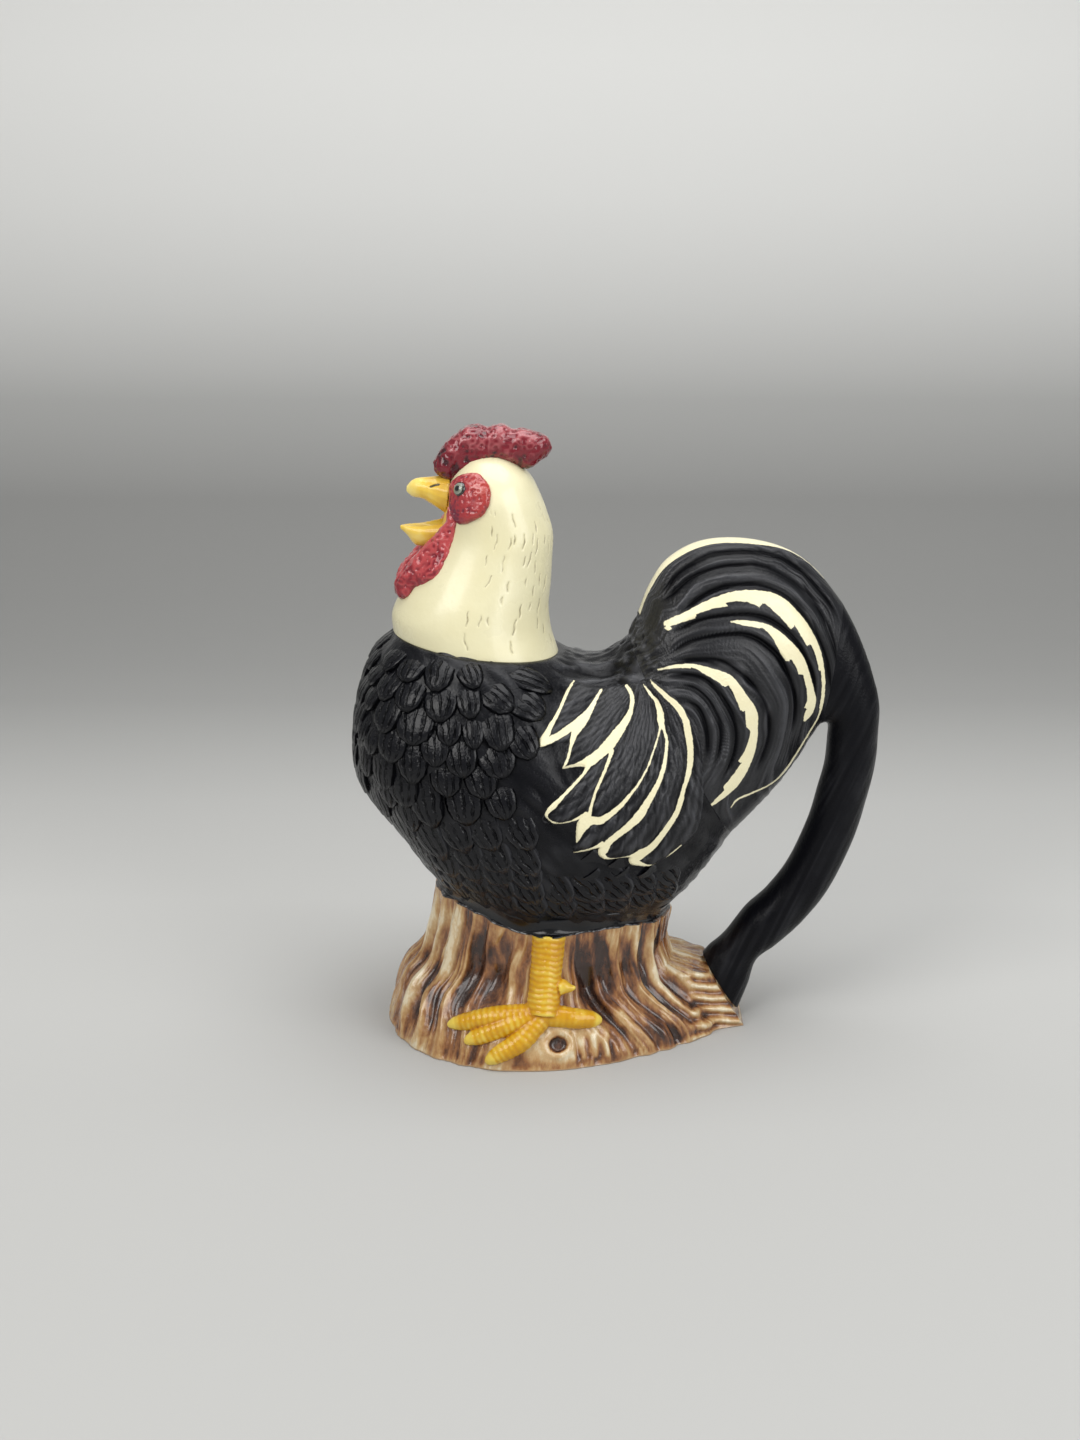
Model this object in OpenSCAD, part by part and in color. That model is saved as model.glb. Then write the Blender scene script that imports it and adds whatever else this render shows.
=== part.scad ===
// Rooster pitcher: slip-cast earthenware, a hollow bird on a tree stump.
// The bird faces -X, its handle is at +X, and the foot stands on z = 0.
// Every piece is a separate casting or pressed sprig, luted to its neighbour.

/* [Clay] */
// Wall of the hollow castings
wall = 5; // [4:0.5:6.5]
// Gap left for slip between two luted pieces
lute_gap = 0.25; // [0.15:0.05:0.4]

/* [Stump] */
// Length of the foot, front to back
base_l = 148; // [140:1:156]
// Width of the foot, side to side
base_w = 118; // [110:1:128]
// Height of the stump's mouth at its sides
stump_h = 53; // [48:1:58]
// How much higher the mouth stands at the front
rim_rise = 8; // [0:1:12]
// Length of the mouth that holds the body
mouth_l = 92.5; // [88:0.5:95]
// Width of the mouth that holds the body
mouth_w = 82; // [78:1:86]
// Thickness of the mouth's rim
rim_t = 4; // [3:0.5:6]
// Height of the ledge that the body stands on
ledge_z = 38; // [30:1:42]
// Width of that ledge
ledge_w = 20; // [16:0.5:22]
// Thickness of the stump's floor
floor_t = 7; // [5:0.5:10]
// Depth of the bark furrows
bark_d = 2.8; // [1.4:0.1:3.2]

/* [Body] */
// Length from the breast to the foot of the tail
body_l = 157; // [148:1:166]
// Height from the ledge to the saddle
body_h = 120; // [112:1:128]
// Width across the wings
body_w = 112; // [104:1:120]
// Relief of the wing feathers
feather_t = 2; // [1.2:0.1:3]
// Relief of the breast feathers
breast_t = 1.7; // [1:0.1:2.4]

/* [Neck and head] */
// Length of the neck where it meets the body
neck_l = 68; // [62:1:72]
// Width of the neck where it meets the body
neck_w = 64; // [58:1:68]
// Height from the neck seam to the crown
head_h = 77; // [70:1:86]
// Bore of the throat that the pitcher pours through
throat_d = 11; // [8:0.5:13]
// Length of the upper beak
beak_l = 17; // [13:0.5:20]
// Half width of the beak at its root
beak_hw = 9; // [7.5:0.5:10]
// Length of the comb
comb_l = 47; // [40:1:52]
// Height of the comb above the crown
comb_h = 12; // [9:0.5:15]
// Half thickness of the comb
comb_r = 6; // [4.5:0.5:7.5]
// Radius of the eye
eye_r = 3; // [2:0.25:4]

/* [Tail and handle] */
// Length of the tail behind its root
tail_l = 86; // [78:1:92]
// Height of the tail above its root
tail_h = 40; // [34:1:48]
// Width of the handle across the hand
handle_w = 22; // [18:1:26]
// Thickness of the handle
handle_t = 21; // [17:0.5:23]
// How far the handle bows out behind the tail
handle_bow = 18; // [14:1:24]

/* [Legs] */
// Radius of the shank
shank_r = 7.4; // [6:0.2:9]
// Radius of a toe
toe_r = 4.6; // [3.6:0.2:5.6]

/* [Hidden] */

far = 300;
black = [0.07, 0.07, 0.09];
cream = [0.95, 0.93, 0.76];
red = [0.62, 0.12, 0.18];
yellow = [0.93, 0.74, 0.20];
bark = [0.50, 0.30, 0.16];

// Curves through stations

// Point at place q along a list of stations, on a Catmull-Rom curve
function along(st, q) =
  let (
    n = len(st) - 1,
    i = max(0, min(floor(q), n - 1)),
    f = q - i,
    a = st[max(i - 1, 0)],
    b = st[i],
    c = st[i + 1],
    d = st[min(i + 2, n)]
  )
  0.5 * (2 * b + (c - a) * f + (2 * a - 5 * b + 4 * c - d) * f * f + (3 * b - a - 3 * c + d) * f * f * f);

// A smooth bump, 1 at zero and 0 beyond plus or minus one
function bump(t) = abs(t) >= 1 ? 0 : (1 + cos(180 * t)) / 2;
// A smooth step from 0 to 1
function step(t) = t <= 0 ? 0 : t >= 1 ? 1 : t * t * (3 - 2 * t);

// A section is [top x, top z, bottom x, bottom z, half width], an ellipse between two rails.
// Its point at angle a runs from the top rail over the -Y side, which is the bird's left.
function section_point(s, a, grow = 0) =
  let (
    half = [s[0] - s[2], s[1] - s[3]] / 2,
    k = 1 + grow / norm(half),
    x = (s[0] + s[2]) / 2 + half[0] * k * cos(a),
    z = (s[1] + s[3]) / 2 + half[1] * k * cos(a)
  )
  [x, -(s[4] + grow) * sin(a), z];

// Faces of a closed skin over rings of points, as triangles
function skin_faces(rings, sides) =
  concat(
    [[for (k = [0:sides - 1]) k]],
    [
      for (i = [0:rings - 1], k = [0:sides - 1], half = [0, 1])
        let (
          a = i * sides + k,
          b = i * sides + (k + 1) % sides,
          c = b + sides,
          d = a + sides
        )
        half == 0 ? [a, d, c] : [a, c, b]
    ],
    [[for (k = [sides - 1:-1:0]) rings * sides + k]]
  );

module skin(points, rings, sides) {
  polyhedron(points, skin_faces(rings, sides));
}

module loft(stations, rings, sides, from, to, grow = 0) {
  skin(
    [
      for (i = [0:rings], k = [0:sides - 1])
        section_point(along(stations, from + (to - from) * i / rings), 360 * k / sides, grow)
    ],
    rings, sides
  );
}

// Body

breast_x = -85.5;
foot_z = ledge_z;
function body_at(f, g) = [breast_x + f * body_l, foot_z + g * body_h];
function body_section(r) =
  concat(body_at(r[0], r[1]), body_at(r[2], r[3]), [r[4] * body_w / 2]);

// Sections as shares of the body's length, height and half width, from the breast to the tail's root
body_rows = [
  [0.000, 0.70, 0.000, 0.67, 0.03],
  [0.010, 0.83, 0.016, 0.575, 0.32],
  [0.036, 0.955, 0.060, 0.48, 0.54],
  [0.080, 1.06, 0.128, 0.365, 0.73],
  [0.160, 1.15, 0.218, 0.21, 0.865],
  [0.280, 1.19, 0.318, 0.09, 0.95],
  [0.410, 1.14, 0.470, -0.06, 1.00],
  [0.520, 1.04, 0.630, -0.02, 0.985],
  [0.600, 1.002, 0.780, 0.07, 0.93],
  [0.660, 1.012, 0.900, 0.215, 0.83],
  [0.716, 1.07, 0.995, 0.38, 0.68]
];
body_stations = [for (r = body_rows) body_section(r)];
body_end = len(body_stations) - 1;
body_rings = 22;
body_sides = 28;
body_mid_x = breast_x + body_l / 2;

// The same sections drawn in by the wall at both ends, for the hollow
hollow_stations = [
  for (s = body_stations)
    let (k = 1 - 2 * wall / body_l)
    [body_mid_x + (s[0] - body_mid_x) * k, s[1], body_mid_x + (s[2] - body_mid_x) * k, s[3], s[4]]
];
hollow_start = 0.8;

function flat_foot(p) = [p[0], p[1], max(p[2], foot_z)];

module body_form(grow = 0) {
  skin(
    [
      for (i = [0:body_rings], k = [0:body_sides - 1])
        let (p = section_point(along(body_stations, body_end * i / body_rings), 360 * k / body_sides, grow))
        grow > 0 ? p : flat_foot(p)
    ],
    body_rings, body_sides
  );
}

module body_hollow() {
  rings = 12;
  sides = 18;
  skin(
    [
      for (i = [0:rings], k = [0:sides - 1])
        let (
          q = hollow_start + (body_end - hollow_start) * i / rings,
          p = section_point(along(hollow_stations, q), 360 * k / sides, -wall)
        )
        [p[0], p[1], max(p[2], foot_z + wall)]
    ],
    rings, sides
  );
}

// Neck seam: a plane that leans back, where the neck is luted on the body
seam_mid = body_at(0.317, 1.06);
seam_tilt = 8;
seam_dir = [-cos(seam_tilt), sin(seam_tilt)];
seam_front = seam_mid + seam_dir * neck_l / 2;
seam_back = seam_mid - seam_dir * neck_l / 2;

// Everything above the seam, up to the neck's back
module above_seam() {
  translate([seam_back[0], 0, seam_back[1]])
    rotate([0, seam_tilt, 0])
      translate([3 - far, -far / 2, 0])
        cube(far);
}

// Place on the body's skin at station q and angle a, sunk by depth, and the outward direction there
function on_body(q, a, depth = 0) = section_point(along(body_stations, q), a, -depth);
function body_out(q, a) =
  let (n = cross(on_body(q, a + 1) - on_body(q, a - 1), on_body(q + 0.05, a) - on_body(q - 0.05, a)))
  n / norm(n);

// Main breast feathers on the bird's left, as [tip station, angle, root station, angle, width],
// the width as a share of the body's
breast_rows = [
  [2.36, 34, 2.88, 27, 0.094], [4.54, 64, 4.58, 52, 0.104], [2.88, 70, 3.26, 53, 0.105],
  [5.72, 67, 5.6, 56, 0.104], [1.59, 73, 1.99, 53, 0.083], [4.98, 82, 4.9, 71, 0.103],
  [2.71, 106, 2.7, 83, 0.104], [3.76, 91, 3.8, 74, 0.106], [2.62, 133, 2.12, 110, 0.086],
  [5.02, 99, 4.89, 87, 0.113], [5.73, 89, 5.57, 81, 0.096], [4.18, 107, 3.94, 91, 0.112]
];
// How deep a feather is rooted, and how far its tip is bevelled
breast_sink = 0.6;
breast_bevel = 1.4;

// A pad that rises toward its tip
module breast_feather(r) {
  tip = on_body(r[0], r[1]);
  root = on_body(r[2], r[3]);
  middle = (tip + root) / 2;
  out = body_out((r[0] + r[2]) / 2, (r[1] + r[3]) / 2);
  way = (tip - root) / norm(tip - root);
  side = cross(way, out) * r[4] * body_w / 2;
  raised = tip - way * breast_bevel + out * breast_t;
  hull()
    polyhedron(
      [
        root - out * breast_sink,
        middle - out * breast_sink / 2 - side,
        middle - out * breast_sink / 2 + side,
        tip - out * breast_sink - side * 0.5,
        tip - out * breast_sink + side * 0.5,
        raised - side * 0.4,
        raised + side * 0.4
      ],
      [[0, 1, 3, 4, 2], [0, 5, 1], [1, 5, 3], [3, 5, 6, 4], [4, 6, 2], [2, 6, 0], [0, 6, 5]]
    );
}

module body_shell() {
  color(black)
    difference() {
      union() {
        body_form();
        for (r = breast_rows, side = [0, 1])
          mirror([0, side, 0])
            breast_feather(r);
      }
      body_hollow();
      above_seam();
    }
}

// Neck and head

function head_at(f, g) = [seam_mid[0] + f * neck_l, seam_mid[1] + g * head_h];
function head_section(r) =
  concat(head_at(r[0], r[1]), head_at(r[2], r[3]), [r[4] * neck_w / 2]);

// Sections from the seam to the crown: front, back and half width, as shares of the neck and head
head_rows = [
  [-0.500, 0.152, 0.451, 0.070, 0.955],
  [-0.452, 0.248, 0.439, 0.195, 0.90],
  [-0.378, 0.358, 0.451, 0.326, 0.82],
  [-0.290, 0.468, 0.460, 0.455, 0.745],
  [-0.224, 0.577, 0.462, 0.577, 0.69],
  [-0.190, 0.681, 0.428, 0.687, 0.655],
  [-0.168, 0.784, 0.384, 0.790, 0.61],
  [-0.128, 0.887, 0.326, 0.887, 0.50],
  [-0.048, 0.965, 0.216, 0.965, 0.31],
  [0.048, 1.000, 0.114, 1.000, 0.08]
];
head_stations = concat(
  [concat(seam_front, seam_back, [neck_w / 2])],
  [for (r = head_rows) head_section(r)]
);
head_end = len(head_stations) - 1;

module head_form(grow = 0) {
  loft(head_stations, 18, 24, 0, head_end, grow);
}

module head_hollow() {
  loft(head_stations, 10, 18, -0.3, head_end - 1.6, -wall);
}

// Place on the head's skin at station q and angle a, sunk by depth
function on_head(q, a, depth = 0) = section_point(along(head_stations, q), a, -depth);

// The flat that the two halves of the beak are luted to
beak_top = head_at(-0.140, 0.885);
beak_foot = head_at(-0.182, 0.550);
beak_lean = atan2(beak_top[0] - beak_foot[0], beak_top[1] - beak_foot[1]);
function on_beak_flat(t) = beak_foot + (beak_top - beak_foot) * t;
mouth_t = 0.33;
mouth = on_beak_flat(mouth_t);
throat_rise = 7;

module beak_flat() {
  translate([beak_foot[0], 0, beak_foot[1]])
    rotate([0, beak_lean, 0])
      translate([-far, -far / 2, 0])
        cube([far, far, norm(beak_top - beak_foot)]);
}

module throat() {
  translate([mouth[0], 0, mouth[1]])
    rotate([0, -90 + throat_rise, 0])
      cylinder(d = throat_d, h = 60, center = true, $fn = 48);
}

module head_shell() {
  color(cream)
    difference() {
      head_form();
      head_hollow();
      beak_flat();
      throat();
    }
}

// Beak

function beak_point(t, out, drop) = on_beak_flat(t) + [-out, drop];

module upper_beak() {
  stations = [
    concat(on_beak_flat(0.99), on_beak_flat(mouth_t + 0.012), [beak_hw]),
    concat(beak_point(0.98, 0.28 * beak_l, 0), beak_point(0.46, 0.24 * beak_l, 0), [0.80 * beak_hw]),
    concat(beak_point(0.95, 0.60 * beak_l, 0), beak_point(0.60, 0.56 * beak_l, 0), [0.58 * beak_hw]),
    concat(beak_point(0.88, 0.86 * beak_l, 0), beak_point(0.60, 0.84 * beak_l, 0), [0.34 * beak_hw]),
    concat(beak_point(0.76, beak_l, 0), beak_point(0.68, beak_l, 0), [0.10 * beak_hw])
  ];
  color(yellow)
    difference() {
      loft(stations, 10, 16, 0, 4);
      throat();
    }
}

module lower_beak() {
  stations = [
    concat(on_beak_flat(mouth_t - 0.012), on_beak_flat(0.02), [0.92 * beak_hw]),
    concat(beak_point(0.29, 0.30 * beak_l, 0), beak_point(-0.05, 0.34 * beak_l, 0), [0.74 * beak_hw]),
    concat(beak_point(0.25, 0.64 * beak_l, 0), beak_point(-0.05, 0.66 * beak_l, 0), [0.54 * beak_hw]),
    concat(beak_point(0.23, 0.94 * beak_l, 0), beak_point(0.06, 0.90 * beak_l, 0), [0.32 * beak_hw]),
    concat(beak_point(0.20, 1.08 * beak_l, 0), beak_point(0.14, 1.06 * beak_l, 0), [0.10 * beak_hw])
  ];
  color(yellow)
    difference() {
      loft(stations, 10, 16, 0, 4);
      throat();
    }
}

// A rounded strand through balls given as [x, y, z, radius]
module strand(balls, facets) {
  for (i = [0:len(balls) - 2])
    hull() {
      for (b = [balls[i], balls[i + 1]])
        translate([b[0], b[1], b[2]])
          sphere(r = b[3], $fn = facets);
    }
}

// Comb: a row of fleshy lobes along the crown, as shares of its length, height and half thickness
comb_front = head_at(-0.245, 1)[0];
crown_z = head_at(0, 1)[1];
comb_rows = [
  [0.105, -0.38, 0.90], [0.175, 0.02, 1.04], [0.235, 0.18, 1.10], [0.310, 0.26, 1.16], [0.385, 0.30, 1.08],
  [0.457, 0.36, 1.04], [0.530, 0.43, 1.02], [0.606, 0.48, 1.00], [0.675, 0.39, 0.98], [0.744, 0.27, 0.97],
  [0.815, 0.15, 0.98], [0.880, 0.05, 0.98]
];
comb_facets = 8;

module comb() {
  balls = [
    for (r = comb_rows)
      [comb_front + r[0] * comb_l, 0, crown_z + r[1] * comb_h, r[2] * comb_r]
  ];
  color(red)
    difference() {
      strand(balls, comb_facets);
      head_form(lute_gap);
    }
}

// Face: a patch of bare skin around the eye with its ear lobe, and the wattle below
patch_q = 6.6;
patch_a = 63;
patch_rise = 0.75;
patch_turn = 13;
patch_t = 2;
patch_ball = 6;
patch_facets = 8;

eye_q = 7.15;
eye_a = 46;
eye_out = 1.2;
eye_seat = on_head(eye_q, eye_a);
eye_up = cross(on_head(eye_q, eye_a + 2) - eye_seat, on_head(eye_q + 0.1, eye_a) - eye_seat);
eye_n = eye_up / norm(eye_up);
eye = eye_seat + eye_n * eye_out;

// Centre of one of the balls that round the patch
function on_patch(rise, turn) =
  on_head(patch_q + patch_rise * rise, patch_a + patch_turn * turn, patch_ball - patch_t);

module face_patch() {
  color(red)
    difference() {
      for (k = [0:7])
        hull() {
          translate(on_patch(0, 0))
            sphere(r = patch_ball, $fn = patch_facets);
          translate(on_patch(sin(45 * k), cos(45 * k)))
            sphere(r = patch_ball, $fn = patch_facets);
        }
      head_form(lute_gap);
      translate(eye)
        sphere(r = eye_r + lute_gap, $fn = 16);
    }
}

// A dome that ends on the head's tangent plane
module eye_ball() {
  color([0.1, 0.1, 0.1])
    translate(eye)
      rotate([0, acos(eye_n[2]), atan2(eye_n[1], eye_n[0])])
        difference() {
          sphere(r = eye_r);
          translate([-far / 2, -far / 2, lute_gap - eye_out - far])
            cube(far);
        }
}

// Wattle: hangs from the cheek down the front of the throat, as [station, angle, radius, stand-out]
wattle_rows = [
  [5.60, 38, 3.8, 3.0], [5.15, 33, 4.6, 4.0], [4.65, 29, 5.2, 5.0],
  [4.25, 25, 5.6, 5.6], [3.90, 22, 5.9, 6.0], [3.50, 20, 6.1, 6.3],
  [3.15, 18, 6.2, 6.5], [2.80, 17, 6.1, 6.4], [2.50, 16, 5.6, 5.8]
];

module wattle() {
  color(red)
    difference() {
      strand([for (r = wattle_rows) concat(on_head(r[0], r[1], r[2] - r[3]), [r[2]])], comb_facets);
      head_form(lute_gap);
      translate([-far, -lute_gap / 2, 0])
        cube(far);
    }
}

// Wing feathers on the bird's left, as [root station, angle, middle station, angle, tip station, angle]
wing_rows = [
  [8.5, 33, 7.4, 43, 6.5, 60],
  [9.0, 39, 7.9, 51, 6.9, 66],
  [9.35, 46, 8.2, 63, 6.6, 80],
  [9.5, 60, 8.5, 76, 6.95, 89],
  [9.5, 74, 8.7, 88, 7.25, 98],
  [9.5, 88, 8.9, 99, 7.9, 105]
];
// Radius that rounds a feather's back, from the body's height
feather_r = 0.148 * body_h;
feather_steps = 4;
wing_facets = 10;
// Relief of the bed between the feathers, as a share of theirs
bed_share = 0.8;

// Ball at share t of a feather's length, standing out from the body
function feather_ball(r, t, stand) =
  let (
    at = along([[r[0], r[1]], [r[2], r[3]], [r[4], r[5]]], 2 * t),
    size = feather_r * (0.7 + 0.3 * sin(180 * t))
  )
  concat(on_body(at[0], at[1], size - stand), [size]);

module feather(r) {
  strand([for (i = [0:feather_steps]) feather_ball(r, i / feather_steps, feather_t)], wing_facets);
}

// Closes the gap between a feather and the next one, below their backs
module feather_bed(a, b) {
  for (t = [0.08, 0.37, 0.66])
    hull() {
      for (r = [a, b], u = [t, t + 0.29])
        let (c = feather_ball(r, u, bed_share * feather_t))
        translate([c[0], c[1], c[2]])
          sphere(r = c[3], $fn = wing_facets);
    }
}

module wing() {
  color(black)
    difference() {
      union() {
        for (r = wing_rows)
          feather(r);
        for (i = [0:len(wing_rows) - 2])
          feather_bed(wing_rows[i], wing_rows[i + 1]);
      }
      body_form(lute_gap);
      behind_tail_root();
    }
}

// Tail: a fluted fan of sickle feathers that bends over and runs into the handle

tail_root = body_stations[body_end];
tail_top = [tail_root[0], tail_root[1]];
tail_foot = [tail_root[2], tail_root[3]];
tail_lean = atan2(tail_top[0] - tail_foot[0], tail_top[1] - tail_foot[1]);

// Everything behind the plane where the tail is luted on, and a lute gap in front of it
module behind_tail_root() {
  translate([tail_foot[0], 0, tail_foot[1]])
    rotate([0, tail_lean, 0])
      translate([-lute_gap, -far / 2, -far / 2])
        cube(far);
}

function tail_at(f, g) = tail_top + [f * tail_l, g * tail_h];
function tail_under(f, g) = tail_foot + [f * tail_l, g * tail_h];

// Upper edge, lower edge and half width from the root to the handle
tail_rows = [
  [0.045, 0.26, 0.07, 0.15, 0.95],
  [0.095, 0.54, 0.14, 0.31, 0.88],
  [0.175, 0.80, 0.205, 0.47, 0.80],
  [0.325, 0.985, 0.27, 0.645, 0.71],
  [0.520, 1.02, 0.32, 0.82, 0.61],
  [0.720, 0.925, 0.36, 0.97, 0.51],
  [0.872, 0.71, 0.39, 1.07, 0.42]
];
tail_end_top = tail_at(1.007, 0.355);
tail_end_foot = tail_under(0.41, 1.135);
tail_stations = concat(
  [tail_root],
  [for (r = tail_rows) concat(tail_at(r[0], r[1]), tail_under(r[2], r[3]), [r[4] * tail_root[4]])],
  [concat(tail_end_top, tail_end_foot, [handle_w / 2 + 1])]
);
tail_end = len(tail_stations) - 1;
tail_rings = 17;
tail_sides = 60;
// Depth and half width of the grooves between the sickle feathers
flute_d = 1.6;
flute_w = 3.2;

// The grooves seen from the side, as shares of the tail's length and height from its root's top
groove_lines = [
  [[0.12, 0.43], [0.26, 0.69], [0.39, 0.81], [0.59, 0.83], [0.81, 0.58], [0.90, 0.31], [0.96, -0.02]],
  [[0.20, 0.35], [0.30, 0.52], [0.41, 0.63], [0.60, 0.64], [0.73, 0.52], [0.83, 0.28], [0.94, -0.29]],
  [[0.18, 0.18], [0.28, 0.31], [0.41, 0.37], [0.56, 0.37], [0.67, 0.29], [0.76, 0.12], [0.87, -0.38]],
  [[0.16, -0.03], [0.26, 0.13], [0.41, 0.19], [0.52, 0.18], [0.60, 0.11], [0.69, -0.07], [0.76, -0.97]],
  [[0.17, -0.09], [0.28, -0.04], [0.41, -0.06], [0.50, -0.19], [0.59, -0.38], [0.66, -0.87], [0.63, -1.13]],
  [[0.15, -0.22], [0.25, -0.19], [0.35, -0.25], [0.43, -0.45], [0.48, -0.67], [0.50, -0.91], [0.47, -1.14]]
];

// How far a point of the side view is from the nearest groove
function segment_far(p, a, b) =
  let (t = max(0, min(1, (p - a) * (b - a) / ((b - a) * (b - a)))))
  norm(p - a - (b - a) * t);
function groove_far(p) =
  min(
    [
      for (l = groove_lines, i = [0:len(l) - 2])
        segment_far(p, tail_at(l[i][0], l[i][1]), tail_at(l[i + 1][0], l[i + 1][1]))
    ]
  );

// Grooves fade out at the root and at the handle, so that those ends stay plain ellipses
function flute(q, p) =
  -flute_d * step(q / 1.2) * step((tail_end - q) / 1.5) * bump(groove_far([p[0], p[2]]) / flute_w);

module tail_shell() {
  color(black)
    difference() {
      skin(
        [
          for (i = [0:tail_rings], k = [0:tail_sides - 1])
            let (
              q = tail_end * i / tail_rings,
              a = 360 * k / tail_sides,
              s = along(tail_stations, q)
            )
            section_point(s, a, flute(q, section_point(s, a)))
        ],
        tail_rings, tail_sides
      );
      loft(tail_stations, 8, 16, -0.2, tail_end - 1.4, -wall - flute_d);
    }
}

// Handle: from the tail's end down to a flat on the stump's heel root

heel_top = [base_l / 2 - 14, stump_h / 2];
heel_foot = [base_l / 2 + 1.5, 2];

// A section square to the handle, at a centre, with the outward direction of the bend
function grip(c, dir) =
  let (n = [cos(dir), sin(dir)] * handle_t / 2)
  concat(c + n, c - n, [handle_w / 2]);

function drop(f) = heel_top[1] + (tail_end_foot[1] - heel_top[1]) * f;
function swing(f) = heel_top[0] + (tail_end_foot[0] + handle_bow - heel_top[0]) * f;

handle_stations = [
  concat(tail_end_top, tail_end_foot, [handle_w / 2 + 1]),
  concat(tail_end_top + [0.36 * handle_bow, -12], tail_end_foot + [1.6, 0.8], [handle_w / 2 + 0.6]),
  concat(tail_end_top + [0.70 * handle_bow, -27], tail_end_foot + [3, 0.6], [handle_w / 2 + 0.3]),
  concat(tail_end_top + [0.93 * handle_bow, -42], tail_end_foot + [3.7, -1.5], [handle_w / 2]),
  grip([tail_end_foot[0] + handle_bow - 4, drop(0.955)], 6),
  grip([tail_end_foot[0] + handle_bow - 4.6, drop(0.84)], 0),
  grip([swing(0.885), drop(0.71)], -8),
  grip([swing(0.815), drop(0.545)], -21),
  grip([swing(0.69), drop(0.36)], -33),
  grip([swing(0.54), drop(0.225)], -43),
  grip([swing(0.38), drop(0.125)], -50),
  concat([heel_foot[0] + 7.5, heel_foot[1] + 22.5], heel_top + [9, 9], [handle_w / 2 - 1]),
  concat([heel_foot[0] + 4, heel_foot[1] + 11], heel_top + [3, 3.5], [handle_w / 2 - 0.5]),
  concat(heel_foot, heel_top, [handle_w / 2])
];

module handle() {
  color(black)
    loft(handle_stations, 28, 14, 0, len(handle_stations) - 1);
}

// The heel's flat, as the furthest x that the stump reaches at a height
function heel_x(z) =
  heel_foot[0] + (heel_top[0] - heel_foot[0]) * (z - heel_foot[1]) / (heel_top[1] - heel_foot[1]);

// Stump: a cup with furrowed bark, root flares and a hollow beside each leg

mouth_x = -4;
// Centre x, half length and half width at shares of the height, from the foot to the rim
stump_rows = [
  [0.00, 0.0, 1.000, 1.000],
  [0.08, 0.0, 0.985, 0.985],
  [0.20, -2.0, 0.930, 0.945],
  [0.37, -6.0, 0.820, 0.870],
  [0.48, -6.5, 0.735, 0.815],
  [0.58, -6.0, 0.700, 0.780],
  [0.75, -6.0, 0.672, 0.755],
  [0.90, -4.6, 0.668, 0.745],
  [1.00, -4.0, 0.670, 0.740]
];
stump_end = len(stump_rows) - 1;
stump_rings = 11;
// How much the foot's edge is bowed under the heel
heel_bow = 0.003;
// Where the leg runs down, and the depth of the hollows beside it
leg_angle = 268;
hollow_d = 4.5;
// How far the heel root stands out behind
heel_out = 15;
// How far the well inside stays within the foot's outline
well_in = 16;

// The mouth stands higher at the front and a little lower at the back
function rim_z(a) =
  stump_h + rim_rise * step((-cos(a) - 0.25) / 0.75) - 3 * step((cos(a) - 0.4) / 0.6) + 0.8 * sin(5 * a);
function side_angle(a) = a > 180 ? a : 360 - a;

// Ridges and furrows down the left side, as [angle at the rim, angle at the foot, share of the bark's depth]
bark_rows = [
  [183, 181, -0.25], [190, 187, 0.35], [198, 194, -0.40], [205, 201, 0.35],
  [212, 208, -0.50], [218, 214, 0.35], [223, 219, -0.35], [229, 225, 0.35],
  [234, 231, -0.85], [240, 235, 0.35], [247, 239, -0.55], [254, 248, 0.35],
  [261, 258, 0.20], [268, 268, 0.20], [275, 277, 0.20], [280, 286, 0.35],
  [285, 295, -0.90], [291, 299, 0.35], [296, 303, -0.45], [302, 307, 0.35],
  [308, 312, -0.65], [314, 316, 0.35], [320, 321, -0.55], [328, 326, 0.35],
  [335, 330, -0.50], [343, 339, 0.30], [350, 348, 0.20], [356, 356, 0.20]
];
// All the columns of the bark, with those of the left side mirrored on the right
bark_columns = concat(
  bark_rows,
  [for (i = [len(bark_rows) - 1:-1:0]) [360 - bark_rows[i][0], 360 - bark_rows[i][1], bark_rows[i][2]]]
);
function column_angle(c, f) = c[1] + (c[0] - c[1]) * f;

// Ridges and furrows fade toward the foot and the rim, and there is a hollow before and behind each leg
function furrow(c, f) =
  bark_d * c[2] * (0.4 + 0.6 * step(f / 0.25)) * (1 - 0.6 * step((f - 0.8) / 0.2))
  - hollow_d * bump((abs(side_angle(column_angle(c, f)) - leg_angle) - 26) / 15) * bump((f - 0.6) / 0.42);

// The foot is broader in front and narrows toward the heel
function egg(a, f) = 1 - (cos(a) > 0 ? 0.28 : 0.22) * cos(a) * (1 - step(f / 0.6));

function heel(a, f) =
  heel_out * (1 - step((abs(a > 180 ? a - 360 : a) - 10) / 18)) * (1 - step((f - 0.47) / 0.1));

// Place on the stump at an angle and a station from the foot to the rim, standing out from its plain shape
function on_stump(a, q, out) =
  let (row = along([for (r = stump_rows) [r[0], r[1], r[2] * base_l / 2, r[3] * base_w / 2]], q))
  [row[1] + (row[2] + out) * cos(a), (row[3] + out) * sin(a) * egg(a, row[0]), row[0] * rim_z(a)];

// Place on a column of the bark
function stump_point(c, q, grow = 0) =
  let (
    f = along(stump_rows, q)[0],
    a = column_angle(c, f),
    p = on_stump(a, q, furrow(c, f) + heel(a, f) + grow)
  )
  [min(p[0], heel_x(p[2])) - (q == 0 ? heel_bow * p[1] * p[1] : 0), p[1], p[2]];

function mouth_point(a, inset, z) =
  [mouth_x + (mouth_l / 2 - inset) * cos(a), (mouth_w / 2 - inset) * sin(a), z];

module stump_form(grow = 0) {
  skin(
    [
      for (i = [0:stump_rings], c = bark_columns)
        stump_point(c, stump_end * i / stump_rings, grow)
    ],
    stump_rings, len(bark_columns)
  );
}

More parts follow.
